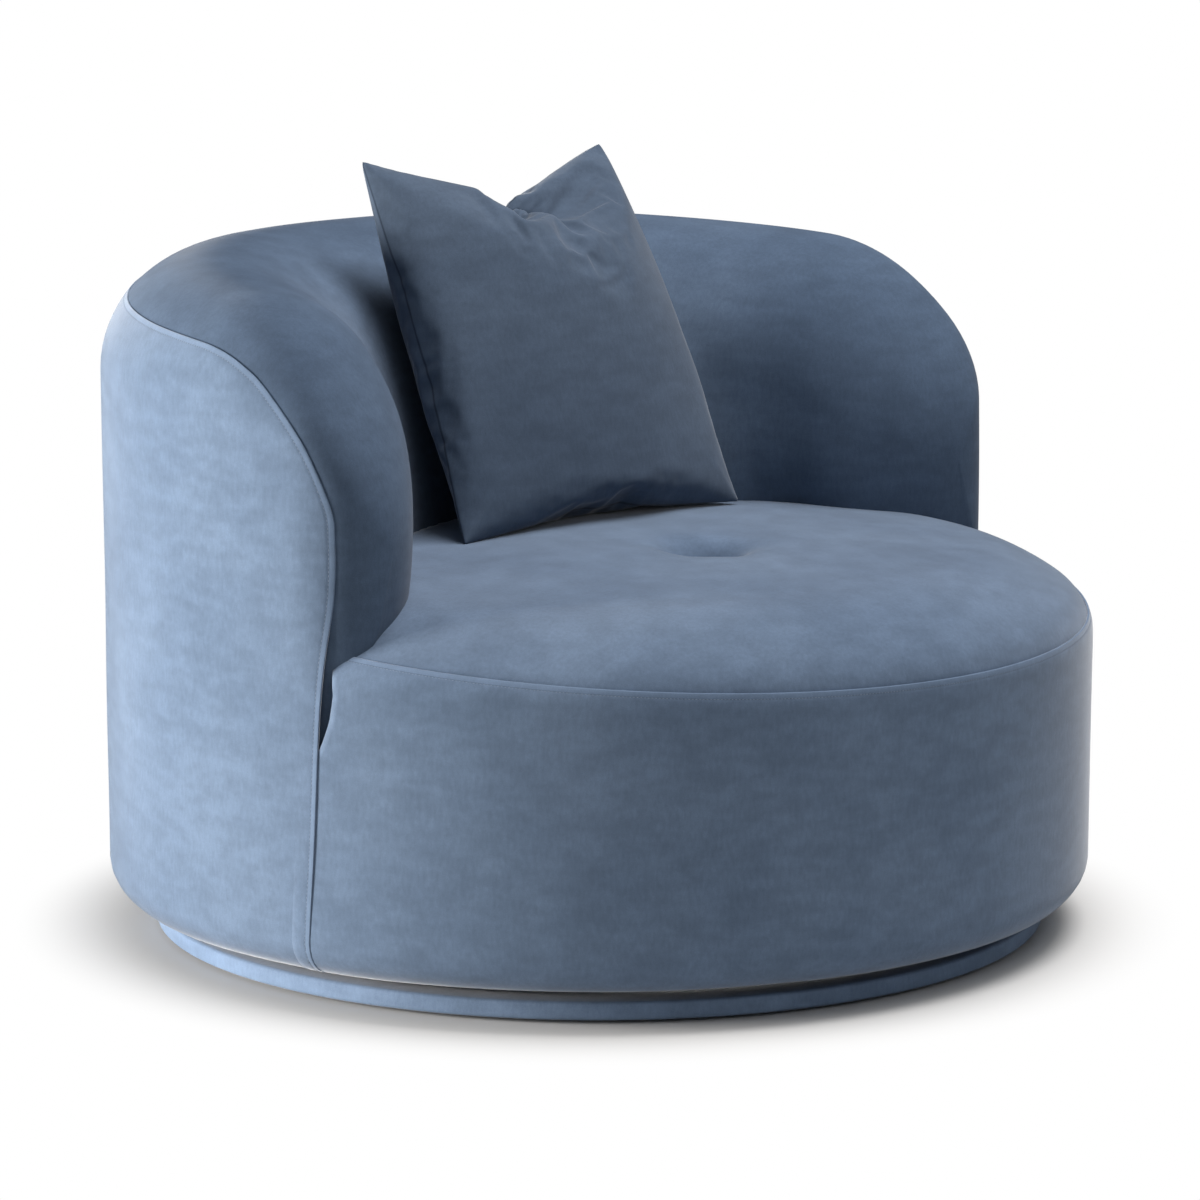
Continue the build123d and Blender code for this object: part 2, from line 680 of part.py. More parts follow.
for number in range(BACK_RIBS):
    save(f"back_rib_{number + 1}", upright((number - BACK_RIBS // 2) * RIB_SPACING))
save("arm_panel_left", upright(-ARM_PANEL_ANGLE))
save("arm_panel_right", upright(ARM_PANEL_ANGLE))
save("back_top_rail", top_rail())
save("back_shelf", back_shelf())
save("outside_board", outside_board())
save("outside_pad", outside_pad())
save("back_foam", back_foam())
inside_cover, outside_cover = back_covers()
save("inside_back_cover", inside_cover)
save("outside_back_cover", outside_cover)

for name, piece in zip(("front_panel", "back_panel", "insert"), pillow_pieces()):
    save(f"pillow_{name}", piece)
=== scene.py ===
# %% [markdown]
# # A round velvet swivel chair
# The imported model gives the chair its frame, its bearing and the room that each padded piece takes. This
# lesson dresses that frame: velvet covers, lapped seams, topstitching, a tufted seat and a loose pillow.
# Sizes are written in millimetres and turned into metres where a vertex is placed.

# %% Load the frame
import bmesh
import bpy
import json
import math
from mathutils import Matrix, Vector, noise
from mathutils.kdtree import KDTree


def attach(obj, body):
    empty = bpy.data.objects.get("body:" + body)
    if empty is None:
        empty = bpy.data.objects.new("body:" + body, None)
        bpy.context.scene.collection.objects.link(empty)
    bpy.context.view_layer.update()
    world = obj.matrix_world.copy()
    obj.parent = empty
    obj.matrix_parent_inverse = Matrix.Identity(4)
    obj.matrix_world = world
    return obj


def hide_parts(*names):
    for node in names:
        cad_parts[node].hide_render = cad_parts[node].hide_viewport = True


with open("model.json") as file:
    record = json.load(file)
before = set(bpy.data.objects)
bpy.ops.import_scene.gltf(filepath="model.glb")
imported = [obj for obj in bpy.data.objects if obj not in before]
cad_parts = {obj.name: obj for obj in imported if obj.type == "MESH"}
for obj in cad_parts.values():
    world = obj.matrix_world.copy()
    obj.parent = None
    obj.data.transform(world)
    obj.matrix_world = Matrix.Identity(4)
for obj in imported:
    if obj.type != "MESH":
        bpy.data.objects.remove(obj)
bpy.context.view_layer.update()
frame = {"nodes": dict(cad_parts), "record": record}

MM = 0.001
nodes = frame["nodes"]
scene = bpy.context.scene

# %% [markdown]
# ## Camera and light
# The photograph was taken with a long lens, from above seat height and from the sitter's right-hand side.
# A long lens keeps the drum's ellipses flat. A strong soft light stands beside the outside panel, so that
# side is pale and the inside of the back falls into shade. A broad one hangs overhead for the seat, and a
# weak one fills the front. Lamps of many sizes would do. Discs this wide give the soft shadows that the
# picture has.

# %% Camera
CAMERA_AT = Vector((-3.74, -3.49, 1.246))
CAMERA_AIM = Vector((0.0, 0.0, 0.312))
camera = bpy.data.objects.new("camera", bpy.data.cameras.new("camera"))
camera.data.lens = 139.6
camera.data.shift_x = 0.0003
camera.data.shift_y = 0.032
camera.location = CAMERA_AT
camera.rotation_euler = (CAMERA_AIM - CAMERA_AT).to_track_quat("-Z", "Y").to_euler()
scene.collection.objects.link(camera)
scene.camera = camera
scene.view_settings.view_transform = "Standard"
print("camera", round((CAMERA_AIM - CAMERA_AT).length, 2), "m away")


# %% Lights
def soft_light(name, place, size, watts, tint, aim=(0.0, 0.0, 0.35)):
    lamp = bpy.data.objects.new(name, bpy.data.lights.new(name, "AREA"))
    lamp.data.shape = "DISK"
    lamp.data.size = size
    lamp.data.energy = watts
    lamp.data.color = tint
    lamp.location = place
    lamp.rotation_euler = (Vector(aim) - Vector(place)).to_track_quat("-Z", "Y").to_euler()
    scene.collection.objects.link(lamp)
    return lamp


soft_light("side_light", (-2.6, 1.8, 0.45), 1.3, 235.0, (1.0, 0.95, 0.88))
soft_light("front_fill", (-1.6, -3.4, 2.4), 2.4, 19.0, (1.0, 1.0, 1.0))
soft_light("top_light", (0.5, -0.6, 3.3), 2.4, 148.0, (1.0, 0.97, 0.94))
world = bpy.data.worlds.new("studio")
world.use_nodes = True
scene.world = world

# %% Sky
# The sky lights the chair only faintly, but the camera sees it as plain white.
WHITE = (1.0, 1.0, 1.0, 1.0)
sky_nodes = world.node_tree.nodes
sky_links = world.node_tree.links
dim_sky = sky_nodes["Background"]
dim_sky.inputs["Color"].default_value = WHITE
dim_sky.inputs["Strength"].default_value = 0.12
seen_sky = sky_nodes.new("ShaderNodeBackground")
seen_sky.inputs["Color"].default_value = WHITE
sky_path = sky_nodes.new("ShaderNodeLightPath")
sky_mix = sky_nodes.new("ShaderNodeMixShader")
sky_links.new(sky_path.outputs["Is Camera Ray"], sky_mix.inputs["Fac"])
sky_links.new(dim_sky.outputs["Background"], sky_mix.inputs[1])
sky_links.new(seen_sky.outputs["Background"], sky_mix.inputs[2])
sky_links.new(sky_mix.outputs["Shader"], sky_nodes["World Output"].inputs["Surface"])
print("sky strength", round(dim_sky.inputs["Strength"].default_value, 2))

# %% [markdown]
# ## Velvet
# Velvet is a short upright pile. It is dark where you look straight into it and pale where light grazes
# it, so the shader needs sheen more than gloss. The pile also leans a little this way and that, which
# leaves broad soft patches and faint brush marks. Noise on Object coordinates gives both, and a fine bump
# gives the fibres. A picture of cloth could be laid on instead, but noise has no repeat and needs no
# unwrapping.


# %% Node helpers
def add_node(tree, kind, **values):
    node = tree.nodes.new(kind)
    for key, value in values.items():
        setattr(node, key, value)
    return node


def noise_at(tree, place, scale, detail=3.0, stretch=(1.0, 1.0, 1.0)):
    mapping = add_node(tree, "ShaderNodeMapping")
    mapping.inputs["Scale"].default_value = stretch
    tree.links.new(place, mapping.inputs["Vector"])
    texture = add_node(tree, "ShaderNodeTexNoise")
    texture.inputs["Scale"].default_value = scale
    texture.inputs["Detail"].default_value = detail
    tree.links.new(mapping.outputs["Vector"], texture.inputs["Vector"])
    return texture.outputs["Fac"]


def mixed(tree, kind, fac, a, b):
    node = add_node(tree, "ShaderNodeMix", data_type="RGBA", blend_type=kind)
    for socket, value in (("Factor", fac), ("A", a), ("B", b)):
        target = [s for s in node.inputs if s.name == socket and s.type in ("VALUE", "RGBA")]
        target = target[0] if socket == "Factor" else target[-1]
        if isinstance(value, (int, float)):
            target.default_value = value
        elif isinstance(value, tuple):
            target.default_value = value + (1.0,)
        else:
            tree.links.new(value, target)
    return [s for s in node.outputs if s.type == "RGBA"][0]


def ramp(tree, fac, stops):
    node = add_node(tree, "ShaderNodeValToRGB")
    node.color_ramp.interpolation = "EASE"
    while len(node.color_ramp.elements) < len(stops):
        node.color_ramp.elements.new(0.5)
    for element, (place, grey) in zip(node.color_ramp.elements, stops):
        element.position = place
        element.color = (grey, grey, grey, 1.0)
    tree.links.new(fac, node.inputs["Fac"])
    return node.outputs["Color"]


def from_attribute(tree, name, low, high):
    """An attribute of the piece, spread from 0 at low to 1 at high."""
    value = add_node(tree, "ShaderNodeAttribute", attribute_name=name).outputs["Fac"]
    spread = add_node(tree, "ShaderNodeMapRange")
    spread.inputs["From Min"].default_value = low
    spread.inputs["From Max"].default_value = high
    tree.links.new(value, spread.inputs["Value"])
    return spread.outputs["Result"]


print("node helpers ready")

# %% [markdown]
# Three kinds of edge need more than the plain pile. Over the crest and the arms the inside back is painted
# darker and given less sheen: this is painted shade, put down to a nap that leans away there, and the
# inside back carries an attribute that marks where it goes. The lapped panels carry their distance from
# the sewn edge in millimetres, called lap: it draws the pale folded strip and the sunk stitch line.
# The pillow carries the same attribute for its seam. Painting masks by hand would work too, but these
# follow the shape.

# %% Velvet finish
VELVET_DEEP, VELVET_PALE = (0.082, 0.118, 0.180), (0.100, 0.141, 0.210)
PATCH_SCALE, BRUSH_SCALE, WEAVE_SCALE, FIBRE_SCALE = 5.0, 26.0, 240.0, 900.0
# Painted shade on the inside back: the tint that darkens its crest and arms, and the share of sheen kept
# there.
PAINTED_SHADE_TINT = (0.62, 0.65, 0.68)
PAINTED_SHADE_SHEEN = 0.3
LAP_REACH = 12.0
STRIP_LIGHT = 1.9
STITCH_SHADE = (0.45, 0.47, 0.50)
SEWN_SHADE = (0.35, 0.37, 0.40)


def velvet(name, tone, sheen, edge=None):
    material = bpy.data.materials.new(name)
    material.use_nodes = True
    tree = material.node_tree
    shader = tree.nodes["Principled BSDF"]
    place = add_node(tree, "ShaderNodeTexCoord").outputs["Object"]
    deep, pale = (tuple(tone * value for value in colour) for colour in (VELVET_DEEP, VELVET_PALE))
    patches = ramp(tree, noise_at(tree, place, PATCH_SCALE, 4.0), ((0.3, 0.0), (0.72, 1.0)))
    brush_marks = noise_at(tree, place, BRUSH_SCALE, 5.0, (1.0, 1.0, 2.4))
    brushed = ramp(tree, brush_marks, ((0.25, 0.0), (0.8, 1.0)))
    fibres = noise_at(tree, place, FIBRE_SCALE, 2.0)
    weave = noise_at(tree, place, WEAVE_SCALE, 3.0, (1.0, 1.0, 0.4))
    colour = mixed(tree, "MIX", patches, deep, pale)
    colour = mixed(tree, "OVERLAY", 0.10, colour, brushed)
    colour = mixed(tree, "OVERLAY", 0.16, colour, fibres)
    colour = mixed(tree, "OVERLAY", 0.16, colour, weave)
    height = mixed(tree, "MIX", 0.5, fibres, weave)
    shader.inputs["Sheen Weight"].default_value = sheen
    # Painted shade: darken the colour and lower the sheen where the inside back's mask says so.
    if edge == "painted_shade":
        painted_shade = from_attribute(tree, "painted_shade", 0.0, 1.0)
        colour = mixed(tree, "MULTIPLY", painted_shade, colour, PAINTED_SHADE_TINT)
        weight = add_node(tree, "ShaderNodeMapRange")
        weight.inputs["To Min"].default_value = sheen
        weight.inputs["To Max"].default_value = PAINTED_SHADE_SHEEN * sheen
        tree.links.new(painted_shade, weight.inputs["Value"])
        tree.links.new(weight.outputs["Result"], shader.inputs["Sheen Weight"])
    if edge == "lap":
        near = from_attribute(tree, "lap", 0.0, LAP_REACH)
        strip = ramp(tree, near, ((0.0, 0.20), (0.45, 0.16), (0.52, 0.0)))
        colour = mixed(tree, "MIX", strip, colour, tuple(STRIP_LIGHT * value for value in pale))
        line = ramp(tree, near, ((0.45, 0.0), (0.52, 0.4), (0.61, 0.0)))
        colour = mixed(tree, "MULTIPLY", line, colour, STITCH_SHADE)
    if edge == "sewn":
        near = from_attribute(tree, "lap", 0.0, LAP_REACH)
        line = ramp(tree, near, ((0.0, 0.9), (0.2, 0.0)))
        colour = mixed(tree, "MULTIPLY", line, colour, SEWN_SHADE)
    tree.links.new(colour, shader.inputs["Base Color"])
    bump = add_node(tree, "ShaderNodeBump")
    bump.inputs["Strength"].default_value = 0.3
    bump.inputs["Distance"].default_value = 0.0006
    tree.links.new(height, bump.inputs["Height"])
    tree.links.new(bump.outputs["Normal"], shader.inputs["Normal"])
    shader.inputs["Roughness"].default_value = 0.95
    shader.inputs["Specular IOR Level"].default_value = 0.12
    shader.inputs["Sheen Roughness"].default_value = 0.33
    shader.inputs["Sheen Tint"].default_value = (0.94, 0.96, 1.0, 1.0)
    return material


chair_velvet = velvet("chair_velvet", 1.12, 0.5)
# The plinth's velvet is a lit copy of the same cloth, made much paler: painted light on its rim.
plinth_painted_light_velvet = velvet("plinth_painted_light_velvet", 1.7, 0.3)
# The inside back's velvet is a shaded copy: a little darker than the seat, and painted darker still over its
# crest and arms.
back_velvet = velvet("back_velvet", 1.05, 0.3, "painted_shade")
panel_velvet = velvet("panel_velvet", 1.15, 0.45, "lap")
pillow_velvet = velvet("pillow_velvet", 0.64, 0.35, "sewn")
print("finishes", chair_velvet.name, pillow_velvet.name)

# %% [markdown]
# ## Finishes of the frame
# The frame is hidden under the padding, but it still gets its real finish: raw plywood with its grain,
# black cambric, webbing, painted plates and zinc-plated fixings. One small function serves them all: two
# colours, a stretched noise between them and a light bump. Finer shaders would be lost under the covers.


# %% Frame finishes
def grained(name, dark, light, scale, stretch, roughness, metallic=0.0):
    material = bpy.data.materials.new(name)
    material.use_nodes = True
    tree = material.node_tree
    shader = tree.nodes["Principled BSDF"]
    place = add_node(tree, "ShaderNodeTexCoord").outputs["Object"]
    grain = ramp(tree, noise_at(tree, place, scale, 6.0, stretch), ((0.3, 0.0), (0.7, 1.0)))
    tree.links.new(mixed(tree, "MIX", grain, dark, light), shader.inputs["Base Color"])
    bump = add_node(tree, "ShaderNodeBump")
    bump.inputs["Strength"].default_value = 0.2
    bump.inputs["Distance"].default_value = 0.0004
    tree.links.new(grain, bump.inputs["Height"])
    tree.links.new(bump.outputs["Normal"], shader.inputs["Normal"])
    shader.inputs["Roughness"].default_value = roughness
    shader.inputs["Metallic"].default_value = metallic
    return material


EVEN = (1.0, 1.0, 1.0)
CAMBRIC_DARK, CAMBRIC_LIGHT = (0.012, 0.012, 0.013), (0.03, 0.03, 0.032)
frame_finish = {
    "plywood": grained("raw_plywood", (0.42, 0.28, 0.14), (0.64, 0.47, 0.28), 30.0, (1.0, 1.0, 8.0), 0.7),
    "hardwood": grained("raw_hardwood", (0.30, 0.18, 0.09), (0.48, 0.31, 0.17), 24.0, (6.0, 1.0, 6.0), 0.65),
    "padding": grained("foam", (0.70, 0.66, 0.54), (0.82, 0.79, 0.68), 300.0, EVEN, 0.9),
    "cambric": grained("black_cambric", CAMBRIC_DARK, CAMBRIC_LIGHT, 700.0, (1.0, 0.3, 1.0), 0.95),
    "webbing": grained("webbing", (0.16, 0.10, 0.06), (0.34, 0.25, 0.16), 400.0, (1.0, 0.2, 1.0), 0.9),
    "plate_steel": grained("black_plate", (0.02, 0.02, 0.02), (0.04, 0.04, 0.042), 200.0, EVEN, 0.45),
    "fixing_steel": grained("zinc", (0.55, 0.55, 0.53), (0.68, 0.68, 0.66), 500.0, (1.0, 1.0, 0.3), 0.3, 1.0),
    "bush_plastic": grained("nylon", (0.03, 0.03, 0.03), (0.05, 0.05, 0.05), 600.0, EVEN, 0.55),
    "twine": grained("waxed_twine", (0.42, 0.37, 0.27), (0.60, 0.54, 0.42), 900.0, (1.0, 1.0, 3.0), 0.8),
    "velvet": chair_velvet,
    "pillow_velvet": pillow_velvet,
}
for row in frame["record"]["subparts"]:
    mesh = nodes[row["node"]].data
    mesh.materials.clear()
    mesh.materials.append(frame_finish[row["material_slot"]])

# %% [markdown]
# ## The plinth
# A low disc wrapped in the same velvet carries the swivel. Its rim is rounded where the cloth turns over
# the board, and bows out a little between the rounds. A cylinder with a bevel would come close. A section
# spun one full turn is as short, and takes the bow as well.


# %% Shared piece maker
def smooth_step(low, high, value):
    t = min(1.0, max(0.0, (value - low) / (high - low)))
    return t * t * (3.0 - 2.0 * t)


def make_piece(name, bm, body, finish):
    """Turn a bmesh in millimetres into a smooth piece that rides on a body."""
    bmesh.ops.scale(bm, vec=(MM, MM, MM), verts=bm.verts)
    mesh = bpy.data.meshes.new(name)
    bm.to_mesh(mesh)
    bm.free()
    mesh.shade_smooth()
    mesh.materials.append(finish)
    piece = bpy.data.objects.new(name, mesh)
    scene.collection.objects.link(piece)
    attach(piece, body)
    print(name, len(mesh.polygons), "faces")
    return piece


def uneven(place, size, pace, shift=(0.0, 0.0, 0.0)):
    """Soft unevenness of the padding, up to about this size, the same in every run."""
    return size * noise.noise(place * pace + Vector(shift))


def spun(bm, edges, steps):
    """One full turn of a section about the swivel axis."""
    bmesh.ops.spin(bm, geom=edges + list(bm.verts), cent=(0, 0, 0), axis=(0, 0, 1), angle=math.tau,
                   steps=steps, use_merge=True, use_duplicate=False)
    bmesh.ops.remove_doubles(bm, verts=bm.verts, dist=0.01)
    bmesh.ops.recalc_face_normals(bm, faces=bm.faces)


def chain(bm, points):
    """Vertices joined in a row by edges."""
    verts = [bm.verts.new(point) for point in points]
    return [bm.edges.new(pair) for pair in zip(verts, verts[1:])]


print("piece helpers ready")

# %% Plinth wrap
PLINTH_R, PLINTH_LOW, PLINTH_TOP = 496.0, 4.0, 24.0
PLINTH_IN = 400.0
PLINTH_ROUND = 4.0
PLINTH_BOW = 1.2
PLINTH_STEPS = 192
bm = bmesh.new()
section = []
for turn in range(-90, 91, 15):
    a = math.radians(turn)
    level = PLINTH_TOP - PLINTH_ROUND if turn > 0 else PLINTH_LOW + PLINTH_ROUND
    bow = PLINTH_BOW * math.cos(a)
    section.append((PLINTH_R - PLINTH_ROUND + PLINTH_ROUND * math.cos(a) + bow, 0.0,
                    level + PLINTH_ROUND * math.sin(a)))
section = [(PLINTH_IN, 0.0, PLINTH_LOW)] + section + [(PLINTH_IN, 0.0, PLINTH_TOP)]
spun(bm, chain(bm, section + section[:1]), PLINTH_STEPS)
plinth_wrap = make_piece("plinth_wrap", bm, "plinth", plinth_painted_light_velvet)
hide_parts("plinth_cover", "plinth_pad")

# %% [markdown]
# ## The shape of the back
# The back is one thick roll that runs round more than half of the drum and ends in two soft noses. In
# every upright plane through the swivel axis its outline has the same six stretches: outside wall,
# outside roll, inside roll, hollowed inside face, inside wall and underside. Only their sizes change with
# the angle, so a few short functions describe the whole form. Angles are counted in degrees from the
# middle of the back. The arms are fuller here than in the solids, as thick and soft as the photograph
# shows them. Sculpting a drum would be freer, but then the covers, the seam and the stitches could not
# share one exact form.

# %% Sizes of the back
BODY_R, BACK_H, NOSE_Z, BACK_LOW = 548.0, 755.0, 490.0, 270.0
WELL_HALF_W, WELL_DEPTH, WELL_SET = 345.0, 270.0, 110.0
NOSE_ANGLE, NOSE_R = 107.0, 478.0
CREST_LEVEL, CREST_TURN, CREST_DROP = 24.0, 82.0, 25.0
SIDE_TURN, INNER_TURN, UNDER_TURN = 98.0, 94.0, 99.0
OUT_ROLL, IN_ROLL, ROLL_LEAN = 0.37, 0.50, math.radians(62.0)
ARM_START, ARM_FULL, ARM_TAPER = 58.0, 84.0, 0.45
ARM_ROLL, ARM_LEAN = 0.627, math.radians(88.0)


def well_reach(angle):
    """Distance from the swivel axis to the inside of the back, half an ellipse in plan."""
    turn = math.radians(angle)
    square = (math.sin(turn) / WELL_HALF_W) ** 2 + (math.cos(turn) / WELL_DEPTH) ** 2
    slope = WELL_SET * math.cos(turn) / WELL_DEPTH ** 2
    rest = 1.0 - (WELL_SET / WELL_DEPTH) ** 2
    return (math.sqrt(slope ** 2 + square * rest) - slope) / square


def swell(angle, start):
    share = max(0.0, abs(angle) - start) / (NOSE_ANGLE - start)
    return math.sqrt(max(0.0, 1.0 - share * share))


def outline_sizes(angle):
    outer = NOSE_R + (BODY_R - NOSE_R) * swell(angle, SIDE_TURN)
    inner = NOSE_R - (NOSE_R - well_reach(angle)) * swell(angle, INNER_TURN)
    fall = CREST_DROP * (max(0.0, abs(angle) - CREST_LEVEL) / (CREST_TURN - CREST_LEVEL)) ** 2
    crest = NOSE_Z + (BACK_H - fall - NOSE_Z) * swell(angle, CREST_TURN)
    under = NOSE_Z - (NOSE_Z - BACK_LOW) * swell(angle, UNDER_TURN)
    return outer, inner, crest, under


print("back sizes", [round(size) for size in outline_sizes(0.0)])


# %% Form of the back
def back_point(angle, along):
    """Radius and height on the outline; each whole step of along is one stretch."""
    outer, inner, crest, under = outline_sizes(angle)
    arm = smooth_step(ARM_START, ARM_FULL, abs(angle))
    out_roll = OUT_ROLL * (outer - inner)
    in_roll = (IN_ROLL + (ARM_ROLL - IN_ROLL) * arm) * (outer - inner)
    lean = ROLL_LEAN + (ARM_LEAN - ROLL_LEAN) * arm
    top_r = outer - out_roll
    brow_r = top_r - in_roll * math.sin(lean)
    brow_z = crest - in_roll * (1.0 - math.cos(lean))
    rest = math.pi / 2 - lean
    face = (brow_r - inner) / (1.0 - math.cos(rest))
    stretch = min(5, int(along))
    t = along - stretch
    if stretch == 0:
        return outer, under + (crest - out_roll - under) * t
    if stretch == 1:
        turn = t * math.pi / 2
        return top_r + out_roll * math.cos(turn), crest - out_roll * (1.0 - math.sin(turn))
    if stretch == 2:
        turn = t * lean
        return top_r - in_roll * math.sin(turn), crest - in_roll * (1.0 - math.cos(turn))
    if stretch == 3:
        turn = lean + t * rest
        return inner + face * (1.0 - math.sin(turn)), brow_z - face * (math.cos(lean) - math.cos(turn))
    belly_z = brow_z - face * math.cos(lean)
    taper = ARM_TAPER * arm * (outer - inner)
    if stretch == 4:
        return inner + taper * t * t, belly_z + (under - belly_z) * t
    return inner + taper + (outer - inner - taper) * t, under


def around_axis(angle, radius, height):
    turn = math.radians(angle)
    return Vector((radius * math.sin(turn), radius * math.cos(turn), height))


wall_behind = round(BODY_R - well_reach(0.0))
wall_beside = round(BODY_R - well_reach(90.0))
print("back wall", wall_behind, "mm thick behind,", wall_beside, "at the arms")

# %% [markdown]
# ## The lapped seam
# The outside panel laps over the inside cover along a seam that climbs the front of each arm, rounds the
# shoulder and runs along the crest. A curve in space would have to be pressed onto the form afterwards.
# Its run is easier to think of on the flat: distance round the drum against height along the cover. A
# smooth curve through a few measured points gives it.


# %% Seam run on the flat
def flat_height(angle, radius, height):
    """Height measured along the cover, over the outside roll where the point lies on it."""
    outer, inner, crest, under = outline_sizes(angle)
    roll = OUT_ROLL * (outer - inner)
    shoulder = crest - roll
    if height <= shoulder:
        return height
    return shoulder + roll * math.atan2(height - shoulder, radius - (outer - roll))


def side_point(y, z):
    """Flat place of a seam point that is known from the side."""
    angle = math.degrees(math.acos(y / BODY_R))
    for _ in range(30):
        outer, inner, crest, under = outline_sizes(angle)
        roll = OUT_ROLL * (outer - inner)
        rise = min(1.0, max(0.0, (z - crest + roll) / roll))
        radius = outer - roll + roll * math.sqrt(1.0 - rise * rise)
        angle = math.degrees(math.acos(min(1.0, y / radius)))
    return Vector((math.radians(angle) * BODY_R, flat_height(angle, radius, z)))


CURVE_STEPS = 60


def smooth_run(points, spacing):
    """Evenly spaced points on a smooth curve through the given ones."""
    dense = []
    ends = [2 * points[0] - points[1]] + points + [2 * points[-1] - points[-2]]
    for a, b, c, d in zip(ends, ends[1:], ends[2:], ends[3:]):
        for step in range(CURVE_STEPS):
            t = step / CURVE_STEPS
            dense.append(0.5 * (2 * b + (c - a) * t + (2 * a - 5 * b + 4 * c - d) * t * t
                                + (3 * b - a - 3 * c + d) * t ** 3))
    dense.append(points[-1])
    run = [dense[0]]
    left = spacing
    for a, b in zip(dense, dense[1:]):
        span = (b - a).length
        while span >= left:
            a = a + (b - a) * (left / span)
            run.append(a)
            span = (b - a).length
            left = spacing
        left -= span
    return run


print("flat helpers ready")

# %% Seam points
# Seen from the side, as distance behind the swivel axis and height. Behind, as angle and flat height.
SEAM_SIDE = ((-92.0, 6.0), (-96.0, 90.0), (-102.0, 176.0), (-108.0, 290.0), (-113.0, 370.0), (-120.0, 440.0),
             (-121.0, 495.0), (-117.0, 534.0), (-91.0, 594.0), (-39.0, 645.0), (0.0, 668.0), (40.0, 681.0),
             (90.0, 687.0), (205.0, 695.0), (316.0, 704.0))
SEAM_BEHIND = ((35.0, 728.0), (15.0, 766.0), (0.0, 804.0))
half_seam = [side_point(y, z) for y, z in SEAM_SIDE]
half_seam += [Vector((math.radians(angle) * BODY_R, height)) for angle, height in SEAM_BEHIND]
whole_seam = half_seam + [Vector((-p.x, p.y)) for p in reversed(half_seam[:-1])]
SEAM_STEP, FINE_STEP = 9.0, 3.0
seam_run = smooth_run(whole_seam, SEAM_STEP)
print("seam", round(len(seam_run) * SEAM_STEP * MM, 2), "m long")

# %% Distance to the seam
fine_seam = smooth_run(whole_seam, FINE_STEP)
seam_tree = KDTree(len(fine_seam))
for index, point in enumerate(fine_seam):
    seam_tree.insert((point.x, point.y, 0.0), index)
seam_tree.balance()


def inward(run):
    """Unit normals of a run on the flat, towards the panel that it edges."""
    normals = []
    for before, after in zip([run[0]] + run[:-1], run[1:] + [run[-1]]):
        along = (after - before).normalized()
        normals.append(Vector((along.y, -along.x)))
    flip = -1.0 if normals[len(normals) // 2].y > 0.0 else 1.0
    return [flip * normal for normal in normals]


fine_normals = inward(fine_seam)


def seam_gap(a, h):
    """Distance to the seam on the flat, positive on the side that the outside panel covers."""
    spot, index, gap = seam_tree.find((a, h, 0.0))
    return math.copysign(gap, Vector((a - spot.x, h - spot.y)).dot(fine_normals[index]))


print("seam tree of", len(fine_seam), "points")

# %% [markdown]
# ## Inside back and arms
# The padded roll is spun through the angle of the arms from one outline, which makes an even net of
# faces. Each vertex is then set on the form at its own angle, and the net is drawn closer at the noses. A
# loft of sections would pinch there. The cover sinks softly where the outside panel is sewn down over it,
# the noses are smoothed in graded steps, and the padding is never perfectly even. A tight cover on firm
# foam has no folds, so it needs no cloth simulation.

# %% Spun net of the back
BACK_STRETCHES = (16, 22, 16, 22, 14, 6)
BACK_STEPS = 264
NET_HALF = 100.0
bm = bmesh.new()
mark = bm.verts.layers.float.new("along")
painted_shade = bm.verts.layers.float.new("painted_shade")
outline = []
for stretch, count in enumerate(BACK_STRETCHES):
    for step in range(count):
        outline.append(stretch + step / count)
ring_verts = []
for along in outline:
    vert = bm.verts.new(around_axis(0.0, *back_point(0.0, along)))
    vert[mark] = along
    ring_verts.append(vert)
ring_edges = [bm.edges.new(pair) for pair in zip(ring_verts, ring_verts[1:] + ring_verts[:1])]
turn_to_end = Matrix.Rotation(math.radians(NET_HALF), 3, "Z")
bmesh.ops.rotate(bm, cent=(0, 0, 0), matrix=turn_to_end, verts=bm.verts)
bmesh.ops.spin(bm, geom=ring_verts + ring_edges, cent=(0, 0, 0), axis=(0, 0, 1),
               angle=math.radians(-2.0 * NET_HALF), steps=BACK_STEPS, use_duplicate=False)
print("back net", len(bm.verts), "vertices")

# %% Net set on the form
NET_EDGE = 0.74
LAP_UNDER = 2.6
SEAM_SINK, SEAM_SINK_WIDTH = 0.3, 4.0
CREST_MARK, LAP_MARK = 2.0, 2.6
ROLL_PACE = 60.0


def net_angle(spin_angle):
    """Spread the spun angles so that the noses are round."""
    share = abs(spin_angle) / NET_HALF
    if share < NET_EDGE:
        angle = CREST_TURN * share / NET_EDGE
    else:
        nose_share = (share - NET_EDGE) / (1.0 - NET_EDGE)
        angle = CREST_TURN + (NOSE_ANGLE - CREST_TURN) * math.sin(nose_share * math.pi / 2)
    return math.copysign(angle, spin_angle)


def cover_height(angle, along, radius, height):
    """Flat height on the cover, carried on past the crest so that the seam can be met there."""
    if along <= CREST_MARK:
        return flat_height(angle, radius, height)
    outer, inner, crest, under = outline_sizes(angle)
    crest_flat = crest - OUT_ROLL * (outer - inner) * (1.0 - math.pi / 2)
    return crest_flat + (along - CREST_MARK) * ROLL_PACE


sunk = {}
for vert in bm.verts:
    angle = net_angle(math.degrees(math.atan2(vert.co.x, vert.co.y)))
    along = vert[mark]
    radius, height = back_point(angle, along)
    if along < LAP_MARK:
        gap = seam_gap(math.radians(angle) * BODY_R, cover_height(angle, along, radius, height))
        pressed = SEAM_SINK * math.exp(-(gap / SEAM_SINK_WIDTH) ** 2)
        sunk[vert] = LAP_UNDER * smooth_step(0.5, 10.0, gap) + pressed
    # Mask of the painted shade: full on the crest and the arms, none down the inside face behind the seat.
    vert[painted_shade] = max(1.0 - smooth_step(2.1, 3.2, along), smooth_step(60.0, 92.0, abs(angle)))
    vert.co = around_axis(angle, radius, height)
print("under the lap", len(sunk), "vertices")

